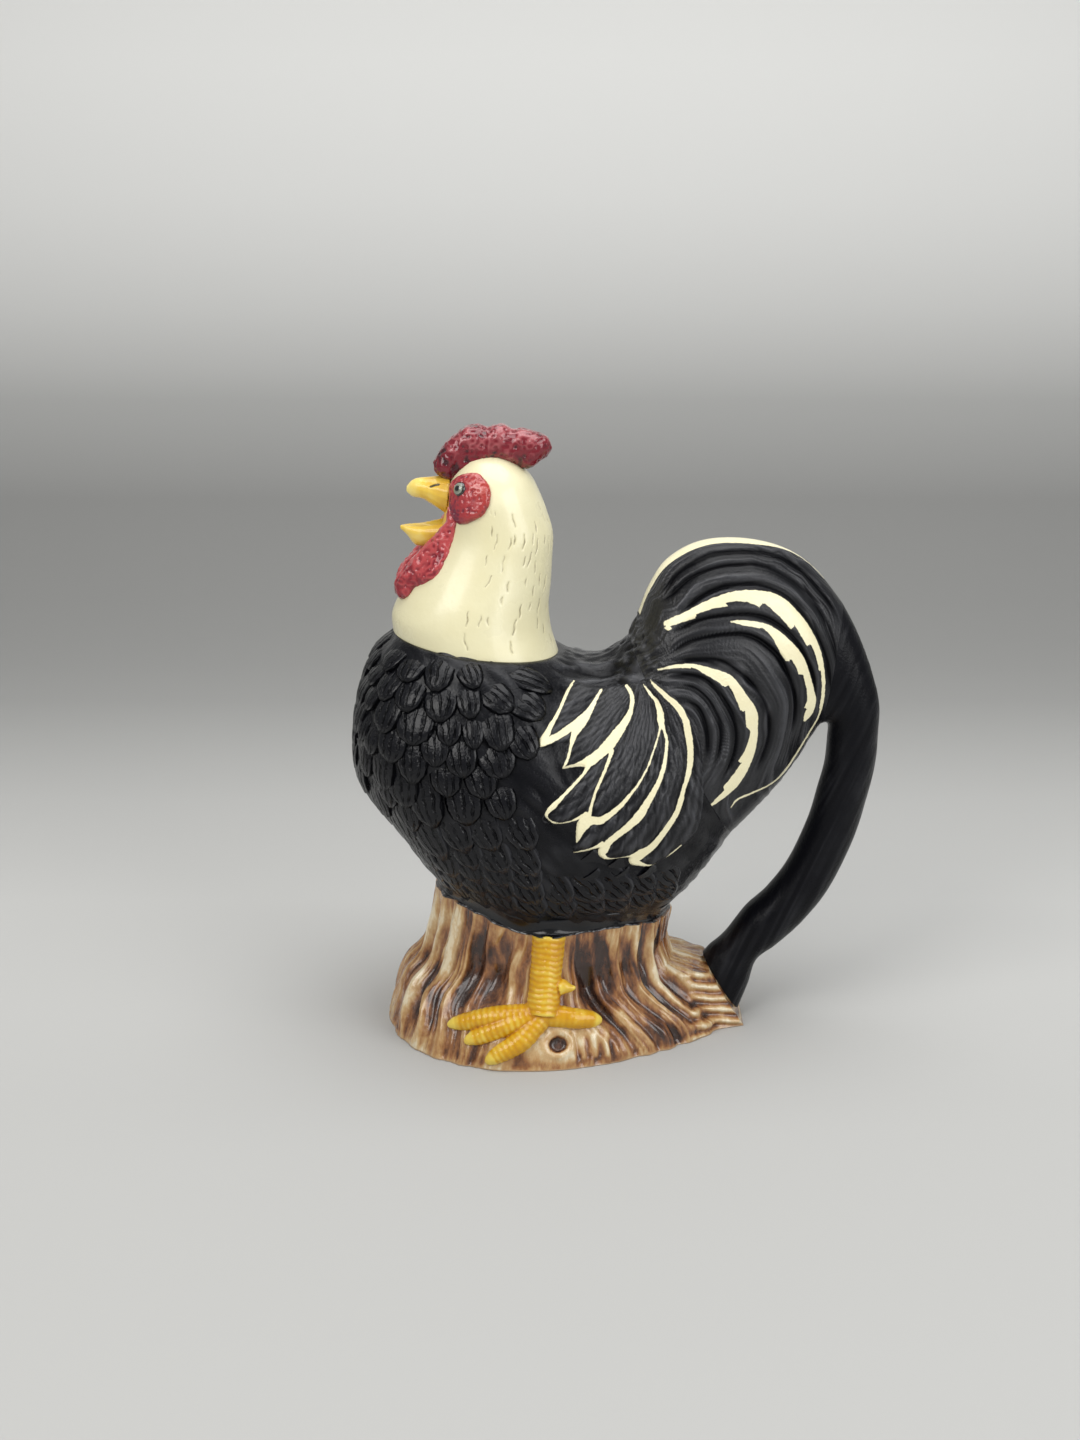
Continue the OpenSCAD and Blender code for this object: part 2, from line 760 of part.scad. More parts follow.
module stump_base() {
  angles = [for (c = bark_columns) c[0]];
  points = concat(
    [for (i = [0:stump_rings], c = bark_columns) stump_point(c, stump_end * i / stump_rings)],
    [for (a = angles) mouth_point(a, -rim_t * 0.35, rim_z(a) + 1)],
    [for (a = angles) mouth_point(a, 0, rim_z(a) - 1)],
    [for (a = angles) mouth_point(a, 1.5, ledge_z - lute_gap)],
    [for (a = angles) mouth_point(a, 1.5 + ledge_w, ledge_z - lute_gap)],
    [for (a = angles) [(base_l / 2 - well_in) * cos(a), (base_w / 2 - well_in) * sin(a), floor_t]]
  );
  color(bark)
    skin(points, stump_rings + 5, len(angles));
}

// Legs: a shank, three front toes, a hind toe and a spur, placed by angle and station on the stump's left
foot = on_stump(leg_angle, 3.25, 0.5);
shank_top = on_stump(leg_angle, 7.6, 2);
leg_facets = 8;
toe_rows = [
  [258, 2.2, 1.5, 246, 0.95, 1],
  [254, 2.7, 1.5, 237, 1.75, 1],
  [249, 3.0, 1.5, 229, 2.35, 1],
  [279, 3.0, 1.0, 288, 2.75, 1]
];
spur_root = on_stump(275, 4.6, 4);
spur_tip = on_stump(281, 4.5, 6);

module leg_form() {
  strand(
    [
      for (t = [0:0.25:1])
        concat(shank_top + (foot - shank_top) * t, [shank_r * (1.02 - 0.16 * sin(180 * t))])
    ],
    leg_facets
  );
  for (t = toe_rows)
    strand(
      [
        concat(foot, [toe_r * 1.15]),
        concat(on_stump(t[0], t[1], t[2]), [toe_r]),
        concat(on_stump(t[3], t[4], t[5]), [toe_r * 0.75])
      ],
      leg_facets
    );
  strand([concat(spur_root, [toe_r * 0.8]), concat(spur_tip, [toe_r * 0.45])], leg_facets);
}

// The right leg is the left one's mirror image, but each is fitted to the bark on its own side
module leg(side) {
  color(yellow)
    difference() {
      mirror([0, side, 0])
        leg_form();
      stump_form(lute_gap);
      body_form(lute_gap);
      translate([-far / 2, -far / 2, -far])
        cube(far);
    }
}

module left_leg() { leg(0); }
module right_leg() { leg(1); }
module left_wing() { wing(); }
module right_wing() { mirror([0, 1, 0]) wing(); }
module left_face_patch() { face_patch(); }
module right_face_patch() { mirror([0, 1, 0]) face_patch(); }
module left_eye() { eye_ball(); }
module right_eye() { mirror([0, 1, 0]) eye_ball(); }
module left_wattle() { wattle(); }
module right_wattle() { mirror([0, 1, 0]) wattle(); }

stump_base();
left_leg();
right_leg();
body_shell();
left_wing();
right_wing();
tail_shell();
handle();
head_shell();
comb();
upper_beak();
lower_beak();
left_face_patch();
right_face_patch();
left_eye();
right_eye();
left_wattle();
right_wattle();
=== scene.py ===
import math

import bmesh
import bpy
import numpy as np
from mathutils import Matrix, Vector
from mathutils.bvhtree import BVHTree


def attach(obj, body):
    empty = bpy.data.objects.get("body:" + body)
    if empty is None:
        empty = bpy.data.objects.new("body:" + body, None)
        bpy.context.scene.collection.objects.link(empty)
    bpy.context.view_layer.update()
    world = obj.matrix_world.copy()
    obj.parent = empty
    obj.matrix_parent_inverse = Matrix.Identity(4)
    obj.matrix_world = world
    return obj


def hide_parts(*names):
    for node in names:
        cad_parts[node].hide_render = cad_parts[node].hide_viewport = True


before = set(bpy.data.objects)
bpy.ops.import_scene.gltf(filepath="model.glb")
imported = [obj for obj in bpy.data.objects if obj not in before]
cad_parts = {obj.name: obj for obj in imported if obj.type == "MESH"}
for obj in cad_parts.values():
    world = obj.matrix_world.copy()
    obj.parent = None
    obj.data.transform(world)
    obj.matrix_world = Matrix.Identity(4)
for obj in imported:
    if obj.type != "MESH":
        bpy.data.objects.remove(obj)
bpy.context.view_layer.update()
mm = 0.001
# rays start this far outside the pitcher, in millimetres
outside = 150.0


# Curves and noise, all in millimetres

def ease(t):
    t = np.clip(t, 0.0, 1.0)
    return t * t * (3.0 - 2.0 * t)


def hump(t):
    return np.where(np.abs(t) >= 1.0, 0.0, (1.0 + np.cos(np.pi * t)) / 2.0)


def along(rows, q):
    rows = np.asarray(rows, float)
    q = np.asarray(q, float)
    last = len(rows) - 1
    i = np.clip(np.floor(q).astype(int), 0, last - 1)
    f = (q - i)[..., None]
    a, b = rows[np.maximum(i - 1, 0)], rows[i]
    c, d = rows[i + 1], rows[np.minimum(i + 2, last)]
    return 0.5 * (2 * b + (c - a) * f + (2 * a - 5 * b + 4 * c - d) * f ** 2 + (3 * b - a - 3 * c + d) * f ** 3)


def section(rows, q, angle):
    s = along(rows, q)
    x = (s[..., 0] + s[..., 2]) / 2 + (s[..., 0] - s[..., 2]) / 2 * np.cos(angle)
    z = (s[..., 1] + s[..., 3]) / 2 + (s[..., 1] - s[..., 3]) / 2 * np.cos(angle)
    return np.stack([x, -s[..., 4] * np.sin(angle), z], -1)


def hashed(i, j, k, seed):
    h = ((i * 73856093) ^ (j * 19349663) ^ (k * 83492791) ^ (seed * 39916801)) & 0x7FFFFFFF
    h = ((h ^ (h >> 13)) * 1274126177) & 0x7FFFFFFF
    h = h ^ (h >> 16)
    return (h & 0xFFFFFF) / float(0xFFFFFF)


def grain(p, size, seed=0):
    p = np.asarray(p, float) / size
    c = np.floor(p).astype(np.int64)
    f = p - c
    f = f * f * (3.0 - 2.0 * f)
    total = 0.0
    for i in (0, 1):
        for j in (0, 1):
            for k in (0, 1):
                w = np.abs(1 - i - f[..., 0]) * np.abs(1 - j - f[..., 1]) * np.abs(1 - k - f[..., 2])
                total = total + w * hashed(c[..., 0] + i, c[..., 1] + j, c[..., 2] + k, seed)
    return 2.0 * total - 1.0


def pits(p, size, seed=0):
    p = np.asarray(p, float) / size
    c = np.floor(p).astype(np.int64)
    best = np.full(p.shape[:-1], 9.0)
    for i in (-1, 0, 1):
        for j in (-1, 0, 1):
            for k in (-1, 0, 1):
                n = c + np.array([i, j, k])
                spot = [n[..., m] + hashed(n[..., 0], n[..., 1], n[..., 2], seed + m) for m in range(3)]
                d = sum((spot[m] - p[..., m]) ** 2 for m in range(3))
                best = np.minimum(best, d)
    return np.sqrt(best)


def track(points):
    n = len(points)
    return along(points, np.linspace(0, n - 1, (n - 1) * 7 + 1))


def nearLine(x, z, points):
    line = track(points)
    away = np.full(x.shape, 1e6)
    width = np.zeros(x.shape)
    side = np.zeros(x.shape)
    run = np.zeros(x.shape)
    length = 0.0
    for a, b in zip(line[:-1], line[1:]):
        dx, dz = b[0] - a[0], b[1] - a[1]
        size = math.hypot(dx, dz)
        t = np.clip(((x - a[0]) * dx + (z - a[1]) * dz) / (size * size), 0, 1)
        d = np.hypot(x - a[0] - t * dx, z - a[1] - t * dz)
        new = d < away
        away = np.where(new, d, away)
        side = np.where(new, np.sign(dx * (z - a[1]) - dz * (x - a[0])), side)
        run = np.where(new, length + t * size, run)
        if len(a) > 2:
            width = np.where(new, a[2] + t * (b[2] - a[2]), width)
        length += size
    return away, width, side, run


def insideOutline(x, z, points):
    inside = np.zeros(x.shape, bool)
    for (ax, az), (bx, bz) in zip(points, points[1:] + points[:1]):
        cross = (az > z) != (bz > z)
        with np.errstate(divide="ignore", invalid="ignore"):
            inside ^= cross & (x < (bx - ax) * (z - az) / (bz - az) + ax)
    return inside


# Meshes

def ringFaces(rows, sides):
    k = np.arange(sides)
    quads = []
    for i in range(rows - 1):
        a, b = i * sides + k, i * sides + (k + 1) % sides
        quads.append(np.stack([a, a + sides, b + sides, b], 1))
    return np.concatenate(quads)


def loft(rows, rings, sides, reach=None):
    q = np.linspace(*(reach or (0, len(rows) - 1)), rings)[:, None]
    a = np.radians(np.arange(sides) * 360.0 / sides)[None, :]
    return section(rows, q + 0 * a, a + 0 * q), q, a


def gridNormals(p, closed=True):
    down = np.gradient(p, axis=0)
    across = np.roll(p, -1, 1) - np.roll(p, 1, 1) if closed else np.gradient(p, axis=1)
    n = np.cross(across, down)
    return n / np.maximum(np.linalg.norm(n, axis=-1, keepdims=True), 1e-9)


def outward(p):
    n = gridNormals(p)
    i = len(p) // 2
    return -n if (n[i] * (p[i] - p[i].mean(0))).sum() < 0 else n


def newObject(name, mesh):
    piece = bpy.data.objects.new(name, mesh)
    bpy.context.scene.collection.objects.link(piece)
    return piece


def setValues(mesh, values):
    for key, value in values.items():
        layer = mesh.attributes.new(key, "FLOAT", "POINT")
        layer.data.foreach_set("value", np.asarray(value, np.float32).ravel())


def makePiece(name, points, faces, values=None):
    mesh = bpy.data.meshes.new(name)
    mesh.from_pydata((np.asarray(points) * mm).tolist(), [], faces)
    mesh.update()
    b = bmesh.new()
    b.from_mesh(mesh)
    if b.calc_volume(signed=True) < 0:
        bmesh.ops.reverse_faces(b, faces=b.faces)
        b.to_mesh(mesh)
    b.free()
    setValues(mesh, values or {})
    mesh.shade_smooth()
    return newObject(name, mesh)


def capped(grid):
    rows, sides = grid.shape[:2]
    points = np.concatenate([grid.reshape(-1, 3), grid[0].mean(0)[None], grid[-1].mean(0)[None]])
    k = np.arange(sides)
    ahead, last, low = (k + 1) % sides, (rows - 1) * sides, np.full(sides, rows * sides)
    faces = ringFaces(rows, sides).tolist()
    faces += np.stack([low, k, ahead], 1).tolist()
    faces += np.stack([low + 1, last + ahead, last + k], 1).tolist()
    return points, faces


def withEnds(value, low=None, high=None):
    ends = [value[0].mean() if low is None else low, value[-1].mean() if high is None else high]
    return np.concatenate([value.ravel(), ends])


def closedSheet(front, back, keep):
    # two sheets over the same cells, joined round their border
    rows, columns = keep.shape
    corners = ((0, 0), (1, 0), (1, 1), (0, 1))
    whole = np.logical_and.reduce([keep[i:rows - 1 + i, j:columns - 1 + j] for i, j in corners])
    used = np.zeros(keep.shape, bool)
    for i, j in corners:
        used[i:rows - 1 + i, j:columns - 1 + j] |= whole
    number = np.full(keep.shape, -1)
    number[used] = np.arange(used.sum())
    c = np.argwhere(whole)
    faces = np.stack([number[c[:, 0] + i, c[:, 1] + j] for i, j in corners], 1)
    top = int(used.sum())
    edges = {(a, b) for f in faces.tolist() for a, b in zip(f, f[1:] + f[:1])}
    rim = sorted((a, b) for a, b in edges if (b, a) not in edges)
    faces = faces.tolist() + (faces[:, ::-1] + top).tolist() + [[b, a, a + top, b + top] for a, b in rim]
    return np.concatenate([front[used], back[used]]), faces, used


def plainMesh(piece):
    graph = bpy.context.evaluated_depsgraph_get()
    graph.update()
    mesh = bpy.data.meshes.new_from_object(piece.evaluated_get(graph), preserve_all_data_layers=True, depsgraph=graph)
    piece.modifiers.clear()
    return mesh


def joinMeshes(piece, meshes, weld=0.02):
    b = bmesh.new()
    for mesh in [piece.data] + meshes:
        b.from_mesh(mesh)
    if weld:
        bmesh.ops.remove_doubles(b, verts=b.verts, dist=weld * mm)
    b.to_mesh(piece.data)
    b.free()


def evenSkin(piece, voxel, rounds):
    # one even mesh over all the parts of a piece, a little smoothed
    remesh = piece.modifiers.new("even", "REMESH")
    remesh.mode = "VOXEL"
    remesh.voxel_size = voxel * mm
    soften = piece.modifiers.new("soften", "SMOOTH")
    soften.factor = 0.5
    soften.iterations = rounds
    piece.data = plainMesh(piece)
    piece.data.name = piece.name
    piece.data.shade_smooth()
    return meshArrays(piece)


def meshArrays(piece):
    n = len(piece.data.vertices)
    co, no = np.empty(n * 3), np.empty(n * 3)
    piece.data.vertices.foreach_get("co", co)
    piece.data.vertex_normals.foreach_get("vector", no)
    return co.reshape(-1, 3) / mm, no.reshape(-1, 3)


def setShape(piece, points, values, mirror=False):
    if mirror:
        points = points * np.array([1, -1, 1])
        piece.data.flip_normals()
    piece.data.vertices.foreach_set("co", (points * mm).ravel())
    setValues(piece.data, values)
    piece.data.update()


def settle(piece, glaze, node):
    piece.data.materials.clear()
    piece.data.materials.append(glaze)
    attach(piece, "root")
    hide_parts(node)
    print(piece.name, len(piece.data.polygons))


# Geometry Nodes

def growTree(name, given, result, nodes, links):
    # nodes are (kind, settings, input values), links are (node, socket, node, socket)
    tree = bpy.data.node_groups.new(name, "GeometryNodeTree")
    for title, kind in given:
        tree.interface.new_socket(title, in_out="INPUT", socket_type="NodeSocket" + kind)
    tree.interface.new_socket(result, in_out="OUTPUT", socket_type="NodeSocketGeometry")
    tree.nodes.new("NodeGroupInput").name = "given"
    tree.nodes.new("NodeGroupOutput").name = "result"
    for title, (kind, traits, values) in nodes.items():
        node = tree.nodes.new(kind)
        node.name = title
        for key, value in traits.items():
            setattr(node, key, value)
        for key, value in values.items():
            node.inputs[key].default_value = value
    for start, leaves, end, enters in links:
        tree.links.new(tree.nodes[start].outputs[leaves], tree.nodes[end].inputs[enters])
    return tree


def grownMesh(piece, tree, values):
    # inputs are set by the identifiers of their sockets
    maker = piece.modifiers.new(tree.name, "NODES")
    maker.node_group = tree
    for socket in tree.interface.items_tree:
        if socket.in_out == "INPUT" and socket.name in values:
            maker[socket.identifier] = values[socket.name]
    return plainMesh(piece)


# Glazes

class Glaze:
    def __init__(self, name):
        self.material = bpy.data.materials.new(name)
        self.material.use_nodes = True
        self.tree = self.material.node_tree
        self.shader = self.tree.nodes["Principled BSDF"]
        self.place = self.tree.nodes.new("ShaderNodeTexCoord").outputs["Object"]

    def give(self, socket, value):
        if isinstance(value, bpy.types.NodeSocket):
            self.tree.links.new(value, socket)
        elif value is not None:
            socket.default_value = value

    def node(self, kind, links=None, **traits):
        node = self.tree.nodes.new(kind)
        for key, value in traits.items():
            setattr(node, key, value)
        for key, value in (links or {}).items():
            self.give(node.inputs[key], value)
        return node

    def value(self, name):
        return self.node("ShaderNodeAttribute", attribute_name=name).outputs["Fac"]

    def noise(self, perMetre, detail=4.0, rough=0.55, stretch=None):
        place = self.place
        if stretch:
            place = self.node("ShaderNodeMapping", {"Vector": place, "Scale": stretch}).outputs[0]
        return self.node("ShaderNodeTexNoise", {"Vector": place, "Scale": perMetre, "Detail": detail,
                                               "Roughness": rough}).outputs["Fac"]

    def spots(self, perMetre, feature="F1"):
        return self.node("ShaderNodeTexVoronoi", {"Vector": self.place, "Scale": perMetre},
                         feature=feature).outputs["Distance"]

    def span(self, value, low, high, to=(0.0, 1.0)):
        return self.node("ShaderNodeMapRange", {"Value": value, "From Min": low, "From Max": high,
                                               "To Min": to[0], "To Max": to[1]}).outputs["Result"]

    def drift(self, perMetre, detail, to):
        return self.span(self.noise(perMetre, detail), 0.3, 0.7, to)

    def plus(self, a, b, kind="ADD"):
        return self.node("ShaderNodeMath", {0: a, 1: b}, operation=kind).outputs[0]

    def times(self, a, b):
        return self.plus(a, b, "MULTIPLY")

    def mix(self, share, a, b):
        a, b = (tone if isinstance(tone, bpy.types.NodeSocket) else (*tone, 1.0) for tone in (a, b))
        return self.node("ShaderNodeMix", {0: share, 6: a, 7: b}, data_type="RGBA").outputs[2]

    def ramp(self, value, stops):
        node = self.node("ShaderNodeValToRGB", {"Fac": value})
        marks = node.color_ramp.elements
        while len(marks) < len(stops):
            marks.new(0.5)
        for mark, (place, colour) in zip(marks, stops):
            mark.position = place
            mark.color = (*colour, 1.0)
        return node.outputs["Color"]

    def bump(self, height, strength, distance):
        return self.node("ShaderNodeBump", {"Height": height, "Strength": strength,
                                           "Distance": distance * mm}).outputs["Normal"]

    def finish(self, colour, rough, normal=None, coat=0.0, coatRough=0.08, specular=0.5):
        for key, value in (("Base Color", colour), ("Roughness", rough), ("Normal", normal), ("Coat Weight", coat),
                           ("Coat Roughness", coatRough), ("Specular IOR Level", specular)):
            self.give(self.shader.inputs[key], value)
        return self.material


# The deep tone is painted shade for grooves and hollows, the base tone is the glaze's own black, and the grey third
# tone is worn glaze and painted sheen.
blackTones = dict(deep=(0.0016, 0.0017, 0.0024), base=(0.0046, 0.0048, 0.0068), rubAndSheen=(0.045, 0.046, 0.052))
paintTones = dict(cream=(0.86, 0.81, 0.57), thin=(0.80, 0.73, 0.46))


def blackGlaze(name, painted=False, barbs=False, streaks=False, rough=(0.21, 0.33), coat=0.05, specular=0.30):
    g = Glaze(name)
    deep, base, rubAndSheen = blackTones["deep"], blackTones["base"], blackTones["rubAndSheen"]
    relief, cloud, height = g.value("relief"), g.noise(90.0), g.noise(900.0, 3.0)
    # darker towards the deep tone where the relief is low: painted shade in grooves and folds
    colour = g.mix(g.span(relief, 0.0, 0.6), deep, base)
    # worn lightens the raised, clouded parts towards the grey tone: wear of the glaze and painted sheen
    worn = g.times(g.span(relief, 0.45, 1.0), g.span(cloud, 0.36, 0.66))
    # the specular level falls where the relief is low: painted shade that takes the reflections out of the grooves
    shadedShine = g.span(relief, 0.08, 0.62, (0.03, specular))
    if barbs:
        # each feather's strokes and border are painted dark, painted shade in its grooves and under its edge, and there
        # the specular level falls too
        reach, edge = g.value("reach"), g.value("edge")
        phase = g.plus(g.times(g.value("quill"), 4 * math.pi), g.drift(190.0, 2.0, (0.4, 2.7)))
        line = g.times(g.span(g.plus(phase, None, "SINE"), 0.30, 0.95),
                       g.span(g.noise(230.0, 2.0), 0.34, 0.62, (0.3, 1.0)))
        line = g.times(line, g.times(g.span(reach, 0.25, 0.5), g.span(reach, 0.98, 0.8)))
        border = g.span(edge, 0.88, 1.0)
        colour = g.mix(border, g.mix(line, colour, deep), deep)
        strokeAndEdgeShade = g.times(g.span(line, 0.0, 1.0, (1.0, 0.35)), g.span(border, 0.0, 1.0, (1.0, 0.1)))
        shadedShine = g.times(specular, strokeAndEdgeShade)
        # belly feathers get a painted highlight along the rim, just inside the dark border
        rim = g.times(g.span(edge, 0.74, 0.86), g.value("belly"))
        worn = g.plus(g.times(worn, 0.3), g.times(rim, 0.5))
        height = g.plus(g.times(height, 0.25), g.times(line, -1.0))
    if streaks:
        # the streak attribute lightens streaks towards the grey tone, wear and painted sheen, and raises them in the
        # bump
        streak = g.value("streak")
        worn = g.plus(worn, g.times(streak, 0.75))
        height = g.plus(height, g.times(streak, 1.6))
    colour = g.mix(g.node("ShaderNodeClamp", {"Value": worn}).outputs[0], colour, rubAndSheen)
    rough = g.span(cloud, 0.25, 0.75, rough)
    if painted:
        cover = g.span(g.plus(g.value("paint"), g.drift(520.0, 3.0, (-0.16, 0.16))), -0.10, 0.14)
        colour = g.mix(cover, colour, g.mix(g.noise(160.0, 3.0), paintTones["cream"], paintTones["thin"]))
        rough = g.span(cover, 0.0, 1.0, (0.37, 0.20))
    normal = g.bump(height, 1.0, 0.8) if barbs else g.bump(height, 0.6, 0.34)
    return g.finish(colour, rough, normal, coat, 0.14, shadedShine)


def redGlaze(name, low, mid, high):
    g = Glaze(name)
    tone = g.plus(g.value("relief"), g.drift(160.0, 3.0, (-0.14, 0.14)))
    colour = g.ramp(tone, [(0.0, low), (0.34, mid), (0.60, mid), (0.92, high)])
    colour = g.mix(g.times(g.value("warm"), 0.6), colour, (0.46, 0.05, 0.02))
    normal = g.bump(g.plus(g.span(g.spots(1100.0), 0.0, 0.4), g.noise(600.0, 2.0)), 0.25, 0.2)
    return g.finish(colour, g.drift(200.0, 2.0, (0.17, 0.29)), normal, coat=0.55, specular=0.4)


def yellowGlaze(name, stops):
    g = Glaze(name)
    tone = g.plus(g.value("relief"), g.drift(120.0, 3.0, (-0.18, 0.18)))
    colour = g.ramp(tone, list(zip((0.0, 0.35, 0.72, 1.0), stops)))
    colour = g.mix(g.value("mark"), colour, (0.01, 0.008, 0.006))
    return g.finish(colour, 0.24, g.bump(g.noise(500.0, 3.0), 0.2, 0.2), coat=0.35, coatRough=0.1, specular=0.3)


def creamGlaze(name):
    g = Glaze(name)
    cloud = g.noise(45.0, 3.0)
    colour = g.mix(g.span(cloud, 0.3, 0.7), (0.78, 0.735, 0.495), (0.735, 0.68, 0.425))
    cracks = g.times(g.span(g.spots(330.0, "DISTANCE_TO_EDGE"), 0.035, 0.0), g.value("craze"))
    colour = g.mix(g.times(cracks, 0.35), colour, (0.45, 0.33, 0.15))
    dash = g.span(g.value("dash"), 0.44, 0.12)
    worn = g.span(g.noise(260.0, 3.0), 0.36, 0.6, (0.25, 0.85))
    colour = g.mix(g.times(dash, worn), colour, (0.20, 0.16, 0.075))
    colour = g.mix(g.value("beak"), colour, (0.78, 0.47, 0.05))
    # the throat is painted near-black: painted shade in the opening
    colour = g.mix(g.value("throat"), colour, (0.02, 0.015, 0.01))
    normal = g.bump(g.plus(g.noise(380.0, 2.0), g.times(dash, -2.0)), 0.25, 0.3)
    return g.finish(colour, g.span(cloud, 0.3, 0.7, (0.24, 0.34)), normal, coat=0.3, coatRough=0.12, specular=0.4)


def barkGlaze(name):
    g = Glaze(name)
    flecks = g.span(g.noise(260.0, 5.0, 0.65, (1.0, 1.0, 0.45)), 0.3, 0.7, (-0.22, 0.22))
    colour = g.ramp(g.plus(g.value("relief"), flecks), [
        (0.0, (0.026, 0.010, 0.006)), (0.18, (0.095, 0.035, 0.015)), (0.38, (0.26, 0.105, 0.034)),
        (0.60, (0.43, 0.24, 0.090)), (0.82, (0.56, 0.39, 0.195)), (1.0, (0.71, 0.61, 0.42))])
    colour = g.mix(g.value("mark"), colour, (0.008, 0.008, 0.011))
    colour = g.mix(g.value("clay"), colour, g.mix(g.noise(700.0, 3.0), (0.44, 0.30, 0.17), (0.34, 0.21, 0.11)))
    normal = g.bump(g.noise(330.0, 5.0, 0.65, (1.0, 1.0, 0.5)), 0.6, 0.7)
    return g.finish(colour, g.drift(150.0, 2.0, (0.16, 0.30)), normal, coat=0.6, coatRough=0.07)


def eyeGlaze(name):
    g = Glaze(name)
    pupil, line = (0.004, 0.004, 0.004), (0.010, 0.008, 0.006)
    colour = g.ramp(g.plus(g.value("ring"), g.drift(900.0, 2.0, (-0.03, 0.03))), [
        (0.0, pupil), (0.34, pupil), (0.40, (0.16, 0.17, 0.13)), (0.70, (0.27, 0.29, 0.23)), (0.78, line), (1.0, line)])
    return g.finish(colour, 0.07, coat=1.0, coatRough=0.03)


# Body

body = dict(
    breastX=-85.5, footZ=38.0, length=157.0, height=120.0, halfWidth=56.0,
    rows=[(0, .70, 0, .67, .03), (.010, .83, .016, .575, .32), (.036, .955, .060, .48, .54),
          (.080, 1.06, .128, .365, .73),
          (.160, 1.15, .218, .21, .865), (.280, 1.19, .318, .09, .95), (.410, 1.14, .470, -.06, 1.0),
          (.520, 1.04, .630, -.02, .985), (.600, 1.002, .780, .07, .93), (.660, 1.012, .900, .215, .83),
          (.716, 1.07, .995, .38, .68)],
    seamTilt=math.radians(8.0), neckLength=68.0, lock=0.85, fold=0.75, rings=170, sides=260)


def bodyAt(f, g):
    return (body["breastX"] + f * body["length"], body["footZ"] + g * body["height"])


bodyStations = [bodyAt(r[0], r[1]) + bodyAt(r[2], r[3]) + (r[4] * body["halfWidth"],) for r in body["rows"]]
seamMid = np.array(bodyAt(.317, 1.06))
seamWay = np.array([-math.cos(body["seamTilt"]), math.sin(body["seamTilt"])])
seamFront = seamMid + seamWay * body["neckLength"] / 2
seamBack = seamMid - seamWay * body["neckLength"] / 2


def seamHeight(x):
    return seamBack[1] + (seamBack[0] - x) * math.tan(body["seamTilt"])


def saddleLocks(p):
    flow = np.stack([p[..., 0] * 0.22, p[..., 1], p[..., 2]], -1)
    lock = grain(flow + 1.4 * grain(p, 7.0, 5)[..., None], 2.1, 3)
    return ease((p[..., 2] - 140) / 14) * ease((p[..., 0] + 8) / 12), lock


bodyGrid, bodyRun, _ = loft(bodyStations, body["rings"], body["sides"])
bodyPoints, bodyFaces = capped(bodyGrid)
bodyTree = BVHTree.FromPolygons(bodyPoints.tolist(), bodyFaces)


def makeBody():
    p, q = bodyGrid, bodyRun
    # wavy locks run back along the saddle, and soft folds lie on the rest
    saddle, lock = saddleLocks(p)
    slant = np.stack([(p[..., 0] + p[..., 2]) * 0.8, p[..., 1] * 0.5, (p[..., 0] - p[..., 2]) * 0.2], -1)
    fold = 0.65 * grain(slant, 3.6, 8) + 0.35 * grain(slant, 1.5, 9)
    lift = body["lock"] * saddle * lock
    lift = lift + body["fold"] * (1 - saddle) * fold * ease((len(bodyStations) - 1 - q) / 0.25)
    lift = lift * ease((q - 0.2) / 0.6)
    p = p + outward(p) * lift[..., None]
    front = p[..., 0] < seamBack[0] + 2.5
    p[..., 2] = np.where(front, np.minimum(p[..., 2], seamHeight(p[..., 0])), p[..., 2])
    p[..., 2] = np.maximum(p[..., 2], body["footZ"])
    # relief is lower in the hollows of the folds, painted shade there; streak lightens the saddle locks with wear and
    # painted sheen
    relief = np.clip(0.42 + 0.35 * lift, 0, 1)
    streak = np.clip(saddle * (lock - 0.1) * 1.3, 0, 1)
    piece = makePiece("bodySkin", *capped(p), {"relief": withEnds(relief), "streak": withEnds(streak)})
    settle(piece, blackGlaze("body black glaze", streaks=True), "body_shell")


makeBody()


# Breast and flank feathers: one small shell, laid so that upper ones cover the roots of lower ones

